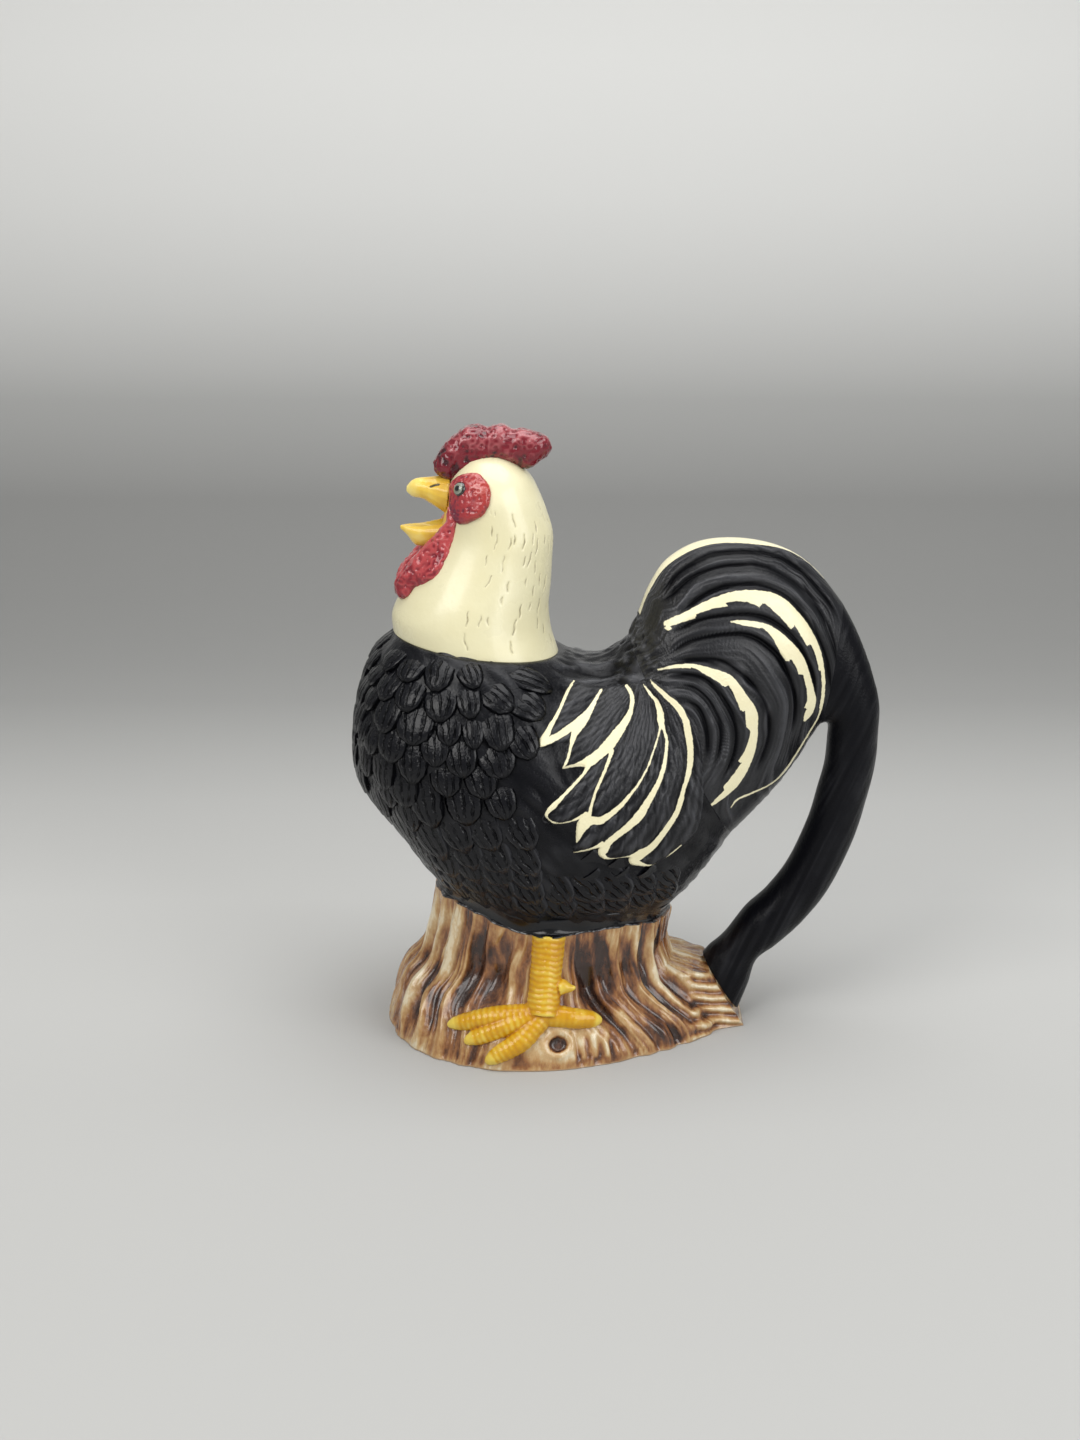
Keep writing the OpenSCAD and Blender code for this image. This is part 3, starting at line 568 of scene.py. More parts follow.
feather = dict(
    width=11.0, shown=12.0, length=18.0, rise=2.2, sink=2.3, crown=1.25, stroke=0.42, skirt=1.7,
    across=8, down=7, gap=11.4, row=8.8, apart=7.6, fill=(64, 166), axis=(-14.0, 110.0),
    places=[(-76.0, 159.8, 9.8, 10.3, -8), (-68.3, 162.8, 9.9, 10.0, -3), (-60.9, 160.8, 10.7, 9.4, 0),
            (-49.5, 160.2, 10.4, 12.4, 0), (-36.9, 160.5, 8.8, 10.9, 15), (-25.4, 160.2, 10.5, 10.9, 25),
            (-12.5, 156.6, 9.4, 15.4, 68), (-26.9, 164.0, 10.4, 9.8, 40), (-75.6, 155.4, 10.5, 8.1, -8),
            (-69.7, 153.8, 10.7, 10.7, -3), (-61.1, 152.1, 11.2, 11.7, 0), (-48.6, 150.1, 11.7, 12.4, 5),
            (-37.4, 151.1, 8.8, 11.6, 8), (-25.6, 151.9, 10.4, 11.8, 42), (-13.5, 148.6, 11.6, 12.2, 46),
            (-76.7, 147.5, 9.6, 9.3, -8), (-70.2, 143.4, 11.8, 12.5, -3), (-58.9, 140.8, 14.0, 12.2, 0),
            (-45.2, 140.6, 9.0, 10.1, 5), (-35.7, 139.9, 7.5, 10.8, 8), (-25.9, 140.4, 11.6, 13.7, 10),
            (-15.8, 136.0, 11.0, 12.3, 25), (-80.1, 135.4, 9.3, 10.5, -8), (-76.5, 132.0, 10.4, 10.4, -5),
            (-68.0, 132.5, 12.5, 11.9, 0), (-50.6, 133.4, 10.6, 12.2, 5), (-40.4, 130.0, 11.5, 12.8, 10),
            (-25.9, 129.5, 12.8, 12.2, 20), (-79.2, 121.9, 9.5, 11.5, -5), (-71.9, 120.8, 11.6, 14.6, 0),
            (-59.7, 127.3, 11.9, 15.3, 5), (-46.3, 121.7, 11.1, 12.5, 8), (-32.4, 121.8, 11.5, 12.5, 15),
            (-73.5, 106.2, 9.6, 14.8, 5), (-63.8, 114.8, 13.2, 13.3, 8), (-39.2, 111.1, 12.6, 13.9, 12),
            (-24.6, 113.0, 10.8, 11.8, 20), (-54.1, 109.8, 12.5, 17.0, 15), (-65.3, 97.6, 14.7, 18.6, 20),
            (-42.5, 99.0, 12.3, 16.9, 22), (-53.2, 93.6, 12.9, 18.8, 25), (-30.8, 100.3, 11.8, 14.7, 25),
            (-16.5, 101.1, 11.6, 14.0, 30)])

wingOutline = [(3.7, 154.5), (-2.7, 146.5), (-10.4, 134.2), (0.9, 134.6), (-0.9, 126.1), (7.5, 125.7), (-7.5, 108.7),
               (-5.3, 104.8), (6.0, 104.4), (4.6, 96.8), (3.5, 92.5), (14.2, 93.6), (15.7, 88.9), (25.4, 88.8),
               (27.0, 85.7),
               (34.6, 83.4), (47.4, 89.6), (54.3, 97.0), (56.2, 112.8), (54.4, 131.3), (48.9, 145.0), (40.9, 153.2),
               (34.4, 156.2), (27.1, 153.9), (15.3, 151.7)]


def featherShell():
    across, down = feather["across"], feather["down"]
    wide = across + 1
    points, quill, reach, edge = [], [], [], []
    for j in range(down + 1):
        t = 0.985 * j / down
        tip = max(0.0, (t - 0.45) / 0.55)
        half = math.sqrt(max(0.0, 1 - tip ** 2.8)) if tip else 0.6 + 0.4 * ease(t / 0.45)
        half *= feather["width"] / 2
        lift = -feather["sink"] + (feather["rise"] + feather["sink"]) * ease(t / 0.75)
        lift -= 0.55 * max(0.0, (t - 0.75) / 0.25) ** 2
        press = feather["stroke"] * hump((t - 0.72) / 0.38)
        for i in range(wide):
            u = 2 * i / across - 1
            stroke = press if i % 2 == 0 and abs(u) < 0.9 else 0.0
            y = feather["shown"] / 2 - feather["length"] * (1 - t)
            points.append((u * half, y, lift - feather["crown"] * u * u - stroke))
            quill.append(u)
            reach.append(t)
            edge.append(max(abs(u), tip))
    faces = [(a, a + 1, a + 1 + wide, a + wide) for j in range(down) for a in range(j * wide, j * wide + across)]
    border = [j * wide for j in range(down + 1)] + [down * wide + i for i in range(1, across)]
    border += [j * wide + across for j in range(down, -1, -1)]
    start = len(points)
    for k, b in enumerate(border):
        x, y, z = points[b]
        points.append((x, y - 0.1, z - feather["skirt"]))
        quill.append(quill[b])
        reach.append(reach[b])
        edge.append(1.05)
        if k:
            faces.append((border[k - 1], b, start + k, start + k - 1))
    mesh = bpy.data.meshes.new("featherShell")
    mesh.from_pydata((np.array(points) * mm).tolist(), [], faces)
    mesh.update()
    if mesh.polygons[across * 3 + 2].normal.z < 0:
        mesh.flip_normals()
    setValues(mesh, {"quill": quill, "reach": reach, "edge": edge, "relief": [0.5] * len(points)})
    mesh.shade_smooth()
    return newObject("featherShell", mesh)


def featherPlaces():
    # first the listed ones on both sides, then rows that fill the front and the belly
    spots = []
    for x, z, wide, tall, tilt in feather["places"]:
        hit = bodyTree.ray_cast(Vector((x, -outside, z)), Vector((0, 1, 0)))
        if hit[0]:
            spots += [(x, hit[0].y, z, wide, tall, tilt), (x, -hit[0].y, z, wide, tall, tilt)]
    placed = np.array([spot[:3] for spot in spots])
    front, under = (section(bodyStations, np.linspace(0, 6, 400), np.full(400, a)) for a in (0.0, math.pi))
    edge = np.concatenate([front[::-1], under])[:, [0, 2]]
    edge = edge[(edge[:, 1] < seamFront[1] + 2) & (edge[:, 0] < -40)]
    step = np.concatenate([[0], np.cumsum(np.hypot(*np.diff(edge, axis=0).T))])
    for row, z in enumerate(np.interp(np.arange(3.0, step[-1], feather["row"]), step, edge[:, 1])):
        if not feather["fill"][0] <= z <= feather["fill"][1]:
            continue
        ring = []
        for w in np.radians(np.arange(0, 360, 1.5)):
            way = Vector((math.cos(w), math.sin(w), 0))
            hit = bodyTree.ray_cast(Vector((feather["axis"][0], 0, float(z))) + way * outside, -way)
            if hit[0]:
                ring.append(np.array(hit[0]))
        ring = np.array(ring + ring[:1])
        run = np.concatenate([[0], np.cumsum(np.linalg.norm(np.diff(ring, axis=0), axis=1))])
        count = int(run[-1] / feather["gap"])
        for k in range(count):
            at = (k + 0.5 * (row % 2)) * run[-1] / count
            x, y, height = (float(np.interp(at, run, ring[:, m])) for m in range(3))
            if np.linalg.norm(placed - (x, y, height), axis=1).min() < feather["apart"]:
                continue
            if (x > -58 and z > 96) or x > 44 or (x > -14 and z > 82):
                continue
            r = [float(hashed(np.int64(k), np.int64(row), np.int64(0), m)) for m in range(3)]
            back = float(ease((x + 70) / 80))
            spots.append((x, y, height, 11.0 + 2.4 * r[0], 12.0 + 2.5 * r[1] + 3.0 * back,
                          4 + 34 * back + 16 * (r[2] - 0.5)))
    return spots


def featherTree():
    vector = dict(data_type="FLOAT_VECTOR")
    nodes = dict(
        cloud=("GeometryNodeMeshToPoints", {}, {}), info=("GeometryNodeObjectInfo", {}, {}),
        turn=("GeometryNodeInputNamedAttribute", vector, {"Name": "turn"}),
        size=("GeometryNodeInputNamedAttribute", vector, {"Name": "size"}),
        euler=("FunctionNodeEulerToRotation", {}, {}), scale=("ShaderNodeVectorMath", {"operation": "SCALE"}, {}),
        lay=("GeometryNodeInstanceOnPoints", {}, {}), real=("GeometryNodeRealizeInstances", {}, {}),
        paint=("GeometryNodeSetMaterial", {}, {}))
    links = [("given", "Places", "cloud", "Mesh"), ("given", "Feather", "info", "Object"),
             ("turn", "Attribute", "euler", "Euler"), ("size", "Attribute", "scale", 0),
             ("given", "Size", "scale", "Scale"),
             ("cloud", "Points", "lay", "Points"), ("info", "Geometry", "lay", "Instance"),
             ("euler", "Rotation", "lay", "Rotation"), ("scale", "Vector", "lay", "Scale"),
             ("lay", "Instances", "real", "Geometry"), ("real", "Geometry", "paint", "Geometry"),
             ("given", "Finish", "paint", "Material"), ("paint", "Geometry", "result", "Feathers")]
    given = [("Places", "Geometry"), ("Feather", "Object"), ("Size", "Float"), ("Finish", "Material")]
    return growTree("featherRows", given, "Feathers", nodes, links)


def layFeathers():
    places, turns, sizes, bellies = [], [], [], []
    for x, y, z, wide, tall, tilt in featherPlaces():
        at, out = bodyTree.find_nearest(Vector((x, y, z)))[:2]
        if out.dot(Vector((x, y, z)) - Vector((feather["axis"][0], 0, feather["axis"][1]))) < 0:
            out = -out
        if z > seamHeight(x) - 4.0 and x < seamBack[0] + 5:
            continue
        if insideOutline(np.array([x + 2.0]), np.array([z]), wingOutline)[0]:
            continue
        slant = math.radians(tilt)
        way = Vector((math.sin(slant), 0, -math.cos(slant)))
        way = (way - out * way.dot(out)).normalized()
        spin = Matrix((way.cross(out).normalized(), way, out)).transposed()
        belly = float(ease((112 - z) / 22))
        places.append(tuple((at - out * (0.15 + 0.45 * belly)) * mm))
        turns.append(tuple(spin.to_euler("XYZ")))
        sizes.append((wide / feather["width"] * 1.22, tall / feather["shown"] * 1.18, 1.0 - 0.35 * belly))
        bellies.append(belly)
    mesh = bpy.data.meshes.new("feathers")
    mesh.from_pydata(places, [], [])
    for key, value in (("turn", turns), ("size", sizes)):
        layer = mesh.attributes.new(key, "FLOAT_VECTOR", "POINT")
        layer.data.foreach_set("vector", np.asarray(value, np.float32).ravel())
    setValues(mesh, {"belly": bellies})
    piece = newObject("breastFeathers", mesh)
    shell = featherShell()
    glaze = blackGlaze("feather black glaze", barbs=True, rough=(0.14, 0.24), coat=0.0)
    piece.data = grownMesh(piece, featherTree(), {"Feather": shell, "Size": 1.0, "Finish": glaze})
    piece.data.name = piece.name
    bpy.data.objects.remove(shell)
    settle(piece, glaze, "body_shell")


layFeathers()


# Tail: overlapping sickle feathers with painted stripes

tail = dict(
    length=86.0, height=40.0, strand=0.34, rings=230, sides=400,
    rows=[(.045, .26, .07, .15, .95), (.095, .54, .14, .31, .88), (.175, .80, .205, .47, .80),
          (.325, .985, .27, .645, .71),
          (.520, 1.02, .32, .82, .61), (.720, .925, .36, .97, .51), (.872, .71, .39, 1.07, .42)],
    grooves=[
        (0.9, [(37.7, 185.3), (44.8, 195.7), (56.2, 202.3), (64.2, 203.9), (75.9, 203.9), (86.7, 201.5), (96.5, 195.5),
               (105.8, 185.0), (111.5, 174.2)]),
        (1.3, [(37.6, 183.5), (49.0, 194.0), (60.4, 198.7), (72.0, 199.8), (77.4, 199.4), (86.4, 196.3), (96.4, 189.5),
               (104.7, 178.7), (109.6, 165.7), (111.4, 153.6)]),
        (1.8, [(44.4, 180.5), (52.3, 187.1), (62.0, 191.7), (70.0, 192.8), (78.9, 192.1), (89.7, 187.0), (98.2, 177.5),
               (104.3, 166.6), (107.7, 154.9), (108.4, 142.9)]),
        (1.5, [(42.2, 173.5), (51.3, 178.7), (61.9, 181.1), (75.3, 181.1), (84.3, 177.8), (92.5, 171.0), (98.5, 161.5),
               (102.1, 151.1), (102.8, 140.0)]),
        (1.8, [(40.8, 165.3), (49.5, 171.6), (61.9, 174.0), (71.7, 173.7), (78.8, 170.8), (86.4, 163.7), (90.6, 155.4),
               (94.0, 145.2), (94.3, 136.7), (92.5, 127.8)]),
        (1.8, [(41.7, 162.9), (51.3, 164.7), (61.9, 163.9), (70.0, 158.9), (77.4, 151.3), (82.3, 142.4), (83.6, 131.7),
               (81.2, 121.4), (76.9, 113.0)]),
        (1.5, [(39.9, 157.7), (48.7, 158.8), (56.6, 156.5), (63.9, 148.6), (68.5, 139.6), (69.7, 130.1), (67.3, 120.7),
               (61.9, 113.2)]),
        (1.3, [(42.6, 154.4), (51.3, 154.0), (58.5, 147.5), (63.1, 138.3), (63.2, 129.4), (59.8, 119.5)]),
        (1.1, [(46.0, 149.6), (53.1, 146.2), (56.8, 138.6), (57.8, 129.9), (56.1, 121.1)])],
    stripes=[
        (0, [(32.5, 180.2, .7), (37.2, 190.1, .8), (43.4, 198.4, .9), (52.3, 204.1, .9), (62.9, 206.8, .8),
             (70.1, 206.9, .8),
             (78.1, 205.7, .7), (84.3, 204.1, .5), (93.4, 199.8, .2), (102.7, 193.3, .2)]),
        (1, [(41.4, 177.0, 1.6), (51.3, 182.2, 1.7), (59.7, 185.8, 2.0), (68.5, 187.9, 2.3), (78.8, 187.2, 2.8),
             (86.1, 184.2, 3.2),
             (92.6, 178.1, 3.1), (97.6, 172.2, 2.6), (102.0, 165.0, 1.8), (104.4, 157.2, 1.1), (105.5, 149.5, .8),
             (105.2, 140.5, .7), (103.9, 133.9, .4)]),
        (1, [(66.4, 178.8, .3), (71.7, 178.1, 1.1), (78.9, 176.7, 1.1), (84.3, 173.0, 2.0), (88.5, 168.2, 2.8),
             (92.4, 163.6, 3.0),
             (95.7, 159.3, 2.3), (98.7, 152.5, 1.7), (100.6, 144.2, 2.0), (99.5, 138.2, 2.0), (98.3, 135.0, .6)]),
        (1, [(37.4, 159.8, .3), (44.3, 161.8, .7), (51.3, 162.1, .9), (57.4, 159.8, 1.7), (65.6, 155.7, 2.3),
             (71.1, 148.3, 2.3),
             (74.9, 141.6, 2.8), (76.1, 134.6, 2.0), (75.4, 127.1, 2.3), (72.8, 120.0, 2.6), (69.3, 113.9, 2.6),
             (64.8, 108.9, 1.7), (58.4, 103.8, .3)]),
        (0, [(103.9, 133.9, .4), (100.5, 127.5, .5), (95.3, 118.2, .6), (90.9, 111.6, .6), (86.2, 107.7, .5),
             (77.5, 105.9, .5),
             (70.7, 104.7, .5), (68.0, 101.1, .3)])])

tailTop, tailFoot = np.array(bodyStations[-1][:2]), np.array(bodyStations[-1][2:4])


def tailAt(f, g):
    return tuple(tailTop + (f * tail["length"], g * tail["height"]))


def tailUnder(f, g):
    return tuple(tailFoot + (f * tail["length"], g * tail["height"]))


tailEndTop, tailEndFoot = tailAt(1.007, .355), tailUnder(.41, 1.135)
tailStations = [bodyStations[-1]]
tailStations += [tailAt(r[0], r[1]) + tailUnder(r[2], r[3]) + (r[4] * bodyStations[-1][4],) for r in tail["rows"]]
tailStations += [tailEndTop + tailEndFoot + (12.0,)]


def levelField(x, z):
    # a smooth field whose levels follow the feathers, from lines that each keep one value
    known = []
    for value, (_, line) in enumerate(tail["grooves"]):
        known += [(px, pz, value + 1.0) for px, pz in line]
    known += [(px, pz, 0.0) for px, pz, _ in tail["stripes"][0][1]]
    known = np.array(known)

    def kernel(r):
        return r ** 2 * np.log(r + 1e-6)

    d = np.hypot(known[:, None, 0] - known[None, :, 0], known[:, None, 1] - known[None, :, 1])
    n = len(known)
    flat = np.column_stack([np.ones(n), known[:, 0], known[:, 1]])
    system = np.block([[kernel(d) + 2.0 * np.eye(n), flat], [flat.T, np.zeros((3, 3))]])
    weights = np.linalg.solve(system, np.concatenate([known[:, 2], np.zeros(3)]))
    level = weights[n] + weights[n + 1] * x + weights[n + 2] * z
    for (px, pz, _), w in zip(known, weights[:n]):
        level = level + w * kernel(np.hypot(x - px, z - pz))
    return level


tailGrid, tailRun, tailTurn = loft(tailStations, tail["rings"], tail["sides"])
tailTree = BVHTree.FromPolygons(tailGrid.reshape(-1, 3).tolist(), ringFaces(tail["rings"], tail["sides"]).tolist())


def makeTail():
    p, q = tailGrid, tailRun
    x, z = p[..., 0], p[..., 2]
    ends = ease(q / 0.5) * ease((len(tailStations) - 1 - q) / 1.2)
    lift, shade = np.zeros(x.shape), np.zeros(x.shape)
    for depth, line in tail["grooves"]:
        away, _, side, run = nearLine(x, z, line)
        tips = ease(run / 9.0) * ease((run.max() - run) / 12.0)
        lift = lift - depth * np.where(side < 0, np.exp(-away / 1.9), np.exp(-(away / 0.85) ** 2)) * tips
        shade = np.maximum(shade, np.where(side < 0, np.exp(-away / 1.1), np.exp(-(away / 0.6) ** 2)) * tips)
    twist = grain(np.stack([x, np.abs(p[..., 1]), z], -1), 9.0, 31)
    flow = np.stack([levelField(x, z) * 7.0 + 0.8 * twist, 0.02 * x, 0.02 * z], -1)
    streak = 0.6 * grain(flow, 1.0, 32) + 0.4 * grain(flow, 0.42, 33)
    paint = np.full(x.shape, -9.0)
    for k, (flame, line) in enumerate(tail["stripes"]):
        away, width, side, run = nearLine(x, z, line)
        if flame:
            tooth = (run / 14.0 + 0.45 * twist) % 1.0
            width = np.where(side < 0, width * (0.55 + 0.75 * tooth), width)
        # the first stripe lies along the crest
        band = width - away if k else np.minimum(6.0 * width - np.abs(p[..., 1]), 4.0 - away)
        paint = np.maximum(paint, band)
    clear = ease(-paint / 0.5)
    saddle, lock = saddleLocks(p)
    saddle = saddle * (1 - ease((q - 0.5) / 1.2))
    lift = (lift + tail["strand"] * streak * clear) * ends + body["lock"] * saddle * lock * clear
    p = p + outward(p) * lift[..., None]
    # relief drops in the grooves as painted shade; light lightens the streaks with wear and painted sheen, less in the
    # grooves
    relief = np.clip(0.62 - 0.85 * shade + 0.34 * streak, 0, 1)
    face = ease((np.abs(np.sin(tailTurn)) - 0.02) / 0.15) + 0 * q
    light = np.clip((streak - 0.05) * 1.2, 0, 1) * clear * (1 - 0.8 * shade) * face
    light = np.maximum(light * ends, np.clip(saddle * (lock - 0.1) * 1.3, 0, 1) * clear)
    values = {"relief": withEnds(relief), "streak": withEnds(light), "paint": withEnds(np.clip(paint, -3, 3), -3, -3)}
    piece = makePiece("tailFan", *capped(p), values)
    settle(piece, blackGlaze("tail glaze", painted=True, streaks=True, specular=0.42), "tail_shell")


makeTail()


# Wings: leaf-shaped feathers with painted borders, standing on the body's sides

wing = dict(
    step=0.42, stand=1.35, crown=0.75, root=(33.0, 160.0), across=(-13.0, 58.0), tall=(81.0, 159.0), brush=1.12,
    borders=[
        [(4.1, 154.3, .4), (1.0, 150.7, .5), (-2.3, 145.6, .6), (-5.7, 140.9, .9), (-8.2, 136.7, 1.2),
         (-10.1, 134.5, .2)],
        [(15.2, 150.7, .3), (12.5, 147.6, .6), (9.9, 144.3, 1.1), (6.8, 141.6, 1.7), (2.4, 139.8, 1.2),
         (-2.7, 137.4, 1.1),
         (-7.1, 135.9, 1.1), (-10.1, 134.4, .2)],
        [(6.8, 141.0, 1.6), (4.2, 138.1, 1.3), (2.4, 133.2, .5), (1.3, 129.4, .5), (-.4, 126.2, .3)],
        [(25.2, 152.5, .5), (27.0, 150.2, .7), (27.3, 147.2, .7), (26.1, 143.5, .9), (23.5, 139.7, 1.3),
         (20.8, 136.7, 1.7),
         (17.5, 133.1, 1.9), (13.4, 130.1, 1.6), (9.7, 127.9, 1.7), (5.3, 127.1, .6), (-.2, 126.2, .3)],
        [(18.5, 131.1, .9), (17.8, 128.5, .6), (16.3, 125.2, .5), (14.1, 120.6, .5), (12.2, 116.5, .5),
         (10.8, 112.3, .5),
         (10.1, 109.4, .6), (9.0, 106.6, 1.1)],
        [(9.7, 126.6, .8), (7.5, 123.6, .5), (3.8, 119.8, .5), (-.6, 115.7, .6), (-4.2, 112.2, 1.0), (-6.8, 109.4, .6),
         (-6.4, 107.1, .3), (-2.8, 105.1, .3), (2.4, 105.8, .3), (6.8, 107.8, .5), (8.6, 108.8, .6)],
        [(31.8, 153.5, .2), (34.3, 150.5, .5), (36.9, 148.0, .9), (38.3, 144.0, 1.3), (38.3, 140.7, 1.2),
         (37.9, 138.0, .4),
         (36.7, 134.1, .3), (35.2, 130.2, .3), (33.3, 125.5, .3), (30.3, 120.2, .4), (26.6, 115.6, .5),
         (22.2, 111.0, .8),
         (17.8, 107.6, 1.0), (14.1, 105.6, 1.4), (11.2, 105.8, 1.4), (8.2, 105.1, 2.3), (6.4, 102.1, 1.6),
         (5.0, 97.1, .2)],
        [(38.4, 140.0, 1.1), (39.4, 137.9, .5), (40.5, 133.8, .5), (40.1, 128.3, .6), (38.9, 122.9, .8),
         (36.7, 117.5, .9),
         (33.3, 112.1, 1.2), (29.6, 106.5, 1.6), (26.0, 103.1, 1.4), (21.5, 99.7, 1.2), (17.9, 96.9, 1.2),
         (15.7, 93.9, 1.7),
         (15.0, 91.4, 1.2), (17.2, 89.6, .5), (20.9, 89.3, .3), (25.4, 89.6, .4), (28.4, 90.5, .6)],
        [(3.9, 92.7, .3), (8.3, 93.4, .5), (12.0, 94.5, .6), (14.9, 96.3, .8)],
        [(34.8, 155.6, .2), (36.9, 153.5, .6), (40.9, 150.3, .9), (45.3, 146.4, 1.1), (48.2, 141.4, 1.1),
         (49.4, 135.5, 1.2),
         (50.2, 129.4, 1.1), (49.9, 123.6, 1.1), (48.8, 118.6, .9), (47.3, 114.4, .7), (46.2, 110.1, 1.0),
         (44.4, 105.1, 1.0),
         (41.0, 100.2, 1.1), (37.3, 95.3, 1.2), (33.6, 91.8, 1.4), (29.9, 89.9, 1.9), (27.7, 87.3, 1.7),
         (30.0, 85.6, 1.1),
         (33.8, 84.4, .3), (38.3, 84.8, .2), (42.1, 87.5, .2), (46.6, 90.7, .2)]])


def outlineGap(x, z, points):
    gap = nearLine(x, z, points + points[:1])[0]
    return np.where(insideOutline(x, z, points), gap, -gap)


def wingSheet():
    x, z = (np.arange(*wing[key], wing["step"]) for key in ("across", "tall"))
    x, z = np.meshgrid(x, z, indexing="ij")
    border = outlineGap(x, z, wingOutline)
    paint = np.full(x.shape, -9.0)
    for line in wing["borders"]:
        away, width = nearLine(x, z, line)[:2]
        paint = np.maximum(paint, width * wing["brush"] - away)
    keep = (border > -0.7) | (paint > -0.3)
    y, n = np.zeros(x.shape), np.zeros(x.shape + (3,))
    for i, j in np.argwhere(keep):
        start = Vector((float(x[i, j]), -outside, float(z[i, j])))
        hits = [tree.ray_cast(start, Vector((0, 1, 0)))[:2] for tree in (bodyTree, tailTree)]
        hits = [hit for hit in hits if hit[0]]
        if not hits:
            keep[i, j] = False
            continue
        at, way = min(hits, key=lambda hit: hit[0].y)
        y[i, j] = at.y
        n[i, j] = way if way.y < 0 else -way
    rx, rz = x - wing["root"][0], z - wing["root"][1]
    turn, reach = np.arctan2(rx, -rz), np.hypot(rx, rz)
    flow = np.stack([turn * 46.0, reach * 0.12, 0 * x], -1)
    streak = grain(flow, 1.0, 21) * 0.6 + grain(flow, 0.45, 22) * 0.4
    barb = np.sin(turn * 95.0 + reach * 1.0 + 2.2 * grain(np.stack([x, z, 0 * x], -1), 5.0, 23))
    bare = ease(-paint / 0.5)
    lift = wing["stand"] * ease((np.maximum(border, paint) + 0.5) / 1.5) - 0.5
    lift = lift + wing["crown"] * ease(-paint / 3.2) * ease(border / 2.0)
    lift = lift + bare * (0.16 * streak + 0.07 * barb) * ease(border / 1.0)
    p = np.stack([x, y, z], -1) + n * lift[..., None]
    # the patch is closed by a back face that lies in the body
    points, faces, used = closedSheet(p, p + np.array([0, 1.6, 0]) - n * 0.4, keep)
    # relief is lower where the feathers dip to their painted borders, painted shade there, and higher on barbs and
    # streaks; light lightens them with wear and painted sheen
    relief = np.clip(0.40 + 0.5 * bare * (0.5 * streak + 0.2 * barb) + 0.2 * ease(-paint / 3), 0, 1)
    light = np.clip(bare * (streak * 0.9 + barb * 0.25), 0, 1)
    values = {"relief": relief, "streak": light, "paint": np.clip(paint, -3, 3)}
    return points, faces, {key: np.tile(value[used], 2) for key, value in values.items()}


wingGlaze = blackGlaze("wing glaze", painted=True, streaks=True, specular=0.38)
wingPoints, wingFaces, wingValues = wingSheet()
for side, mirror in (("left", 1), ("right", -1)):
    wingPiece = makePiece(side + "Wing", wingPoints * np.array([1, mirror, 1]), wingFaces, wingValues)
    settle(wingPiece, wingGlaze, side + "_wing")


# Handle

handle = dict(width=22.0, thick=21.0, bow=18.0, heelTop=(60.0, 26.5), heelFoot=(75.5, 2.0), rings=260, sides=120)


def handleStations():
    top, foot, bow = np.array(tailEndTop), np.array(tailEndFoot), handle["bow"]
    heelTop, heelFoot = np.array(handle["heelTop"]), np.array(handle["heelFoot"])
    w = handle["width"] / 2

    def drop(f):
        return heelTop[1] + (foot[1] - heelTop[1]) * f

    def swing(f):
        return heelTop[0] + (foot[0] + bow - heelTop[0]) * f

    def grip(c, way):
        n = np.array([math.cos(math.radians(way)), math.sin(math.radians(way))]) * handle["thick"] / 2
        return tuple(np.array(c) + n) + tuple(np.array(c) - n) + (w,)

    def pair(a, b, half):
        return tuple(a) + tuple(b) + (half,)

    return [pair(top, foot, w + 1), pair(top + (0.36 * bow, -12), foot + (1.6, 0.8), w + 0.6),
            pair(top + (0.70 * bow, -27), foot + (3, 0.6), w + 0.3),
            pair(top + (0.93 * bow, -42), foot + (3.7, -1.5), w),
            grip((foot[0] + bow - 4, drop(0.955)), 6), grip((foot[0] + bow - 4.6, drop(0.84)), 0),
            grip((swing(0.885), drop(0.71)), -8), grip((swing(0.815), drop(0.545)), -21),
            grip((swing(0.69), drop(0.36)), -33), grip((swing(0.54), drop(0.225)), -43),
            grip((swing(0.38), drop(0.125)), -50),
            pair(heelFoot + (7.5, 22.5), heelTop + (9, 9), w - 1),
            pair(heelFoot + (4, 11), heelTop + (3, 3.5), w - 0.5),
            pair(heelFoot, heelTop, w)]


def makeHandle():
    rows = handleStations()
    p, q, _ = loft(rows, handle["rings"], handle["sides"])
    slant = np.stack([p[..., 0] * 0.8 - p[..., 2] * 0.35, p[..., 1] * 0.35, p[..., 2] * 0.05 + q * 0.3], -1)
    streak = 0.6 * grain(slant, 1.6, 41) + 0.4 * grain(slant, 0.7, 42)
    ends = ease(q / 0.6) * ease((len(rows) - 1 - q) / 0.6)
    p = p + outward(p) * (0.12 * streak * ends)[..., None]
    # the streaks are lighter, with wear and painted sheen
    values = {"relief": withEnds(np.clip(0.45 + 0.2 * streak, 0, 1)),
              "streak": withEnds(np.clip(streak - 0.25, 0, 1) * 0.22)}
    piece = makePiece("handleBow", *capped(p), values)
    glaze = blackGlaze("handle glaze", streaks=True, rough=(0.26, 0.38), coat=0.03, specular=0.16)
    settle(piece, glaze, "handle")


makeHandle()


# Neck and head

head = dict(
    height=77.0, halfWidth=32.0, rings=215, sides=420, stroke=(9.0, 8.4), gullet=26.0,
    beakFoot=(-.182, .550), beakTop=(-.140, .885), mouth=0.33, throat=5.5,
    rows=[(-.500, .152, .451, .070, .955), (-.452, .248, .439, .195, .90), (-.378, .358, .451, .326, .82),
          (-.290, .468, .460, .455, .745), (-.224, .577, .462, .577, .69), (-.190, .681, .428, .687, .655),
          (-.168, .784, .384, .790, .61), (-.128, .887, .326, .887, .50), (-.048, .965, .216, .965, .31),
          (.048, 1.0, .114, 1.0, .08)],
    beakEdge=[(202, -56.0), (205, -53.5), (210, -49.6), (213.5, -46.6), (218, -43.6), (222.6, -43.6), (227, -44.0),
              (233.5, -45.4)])


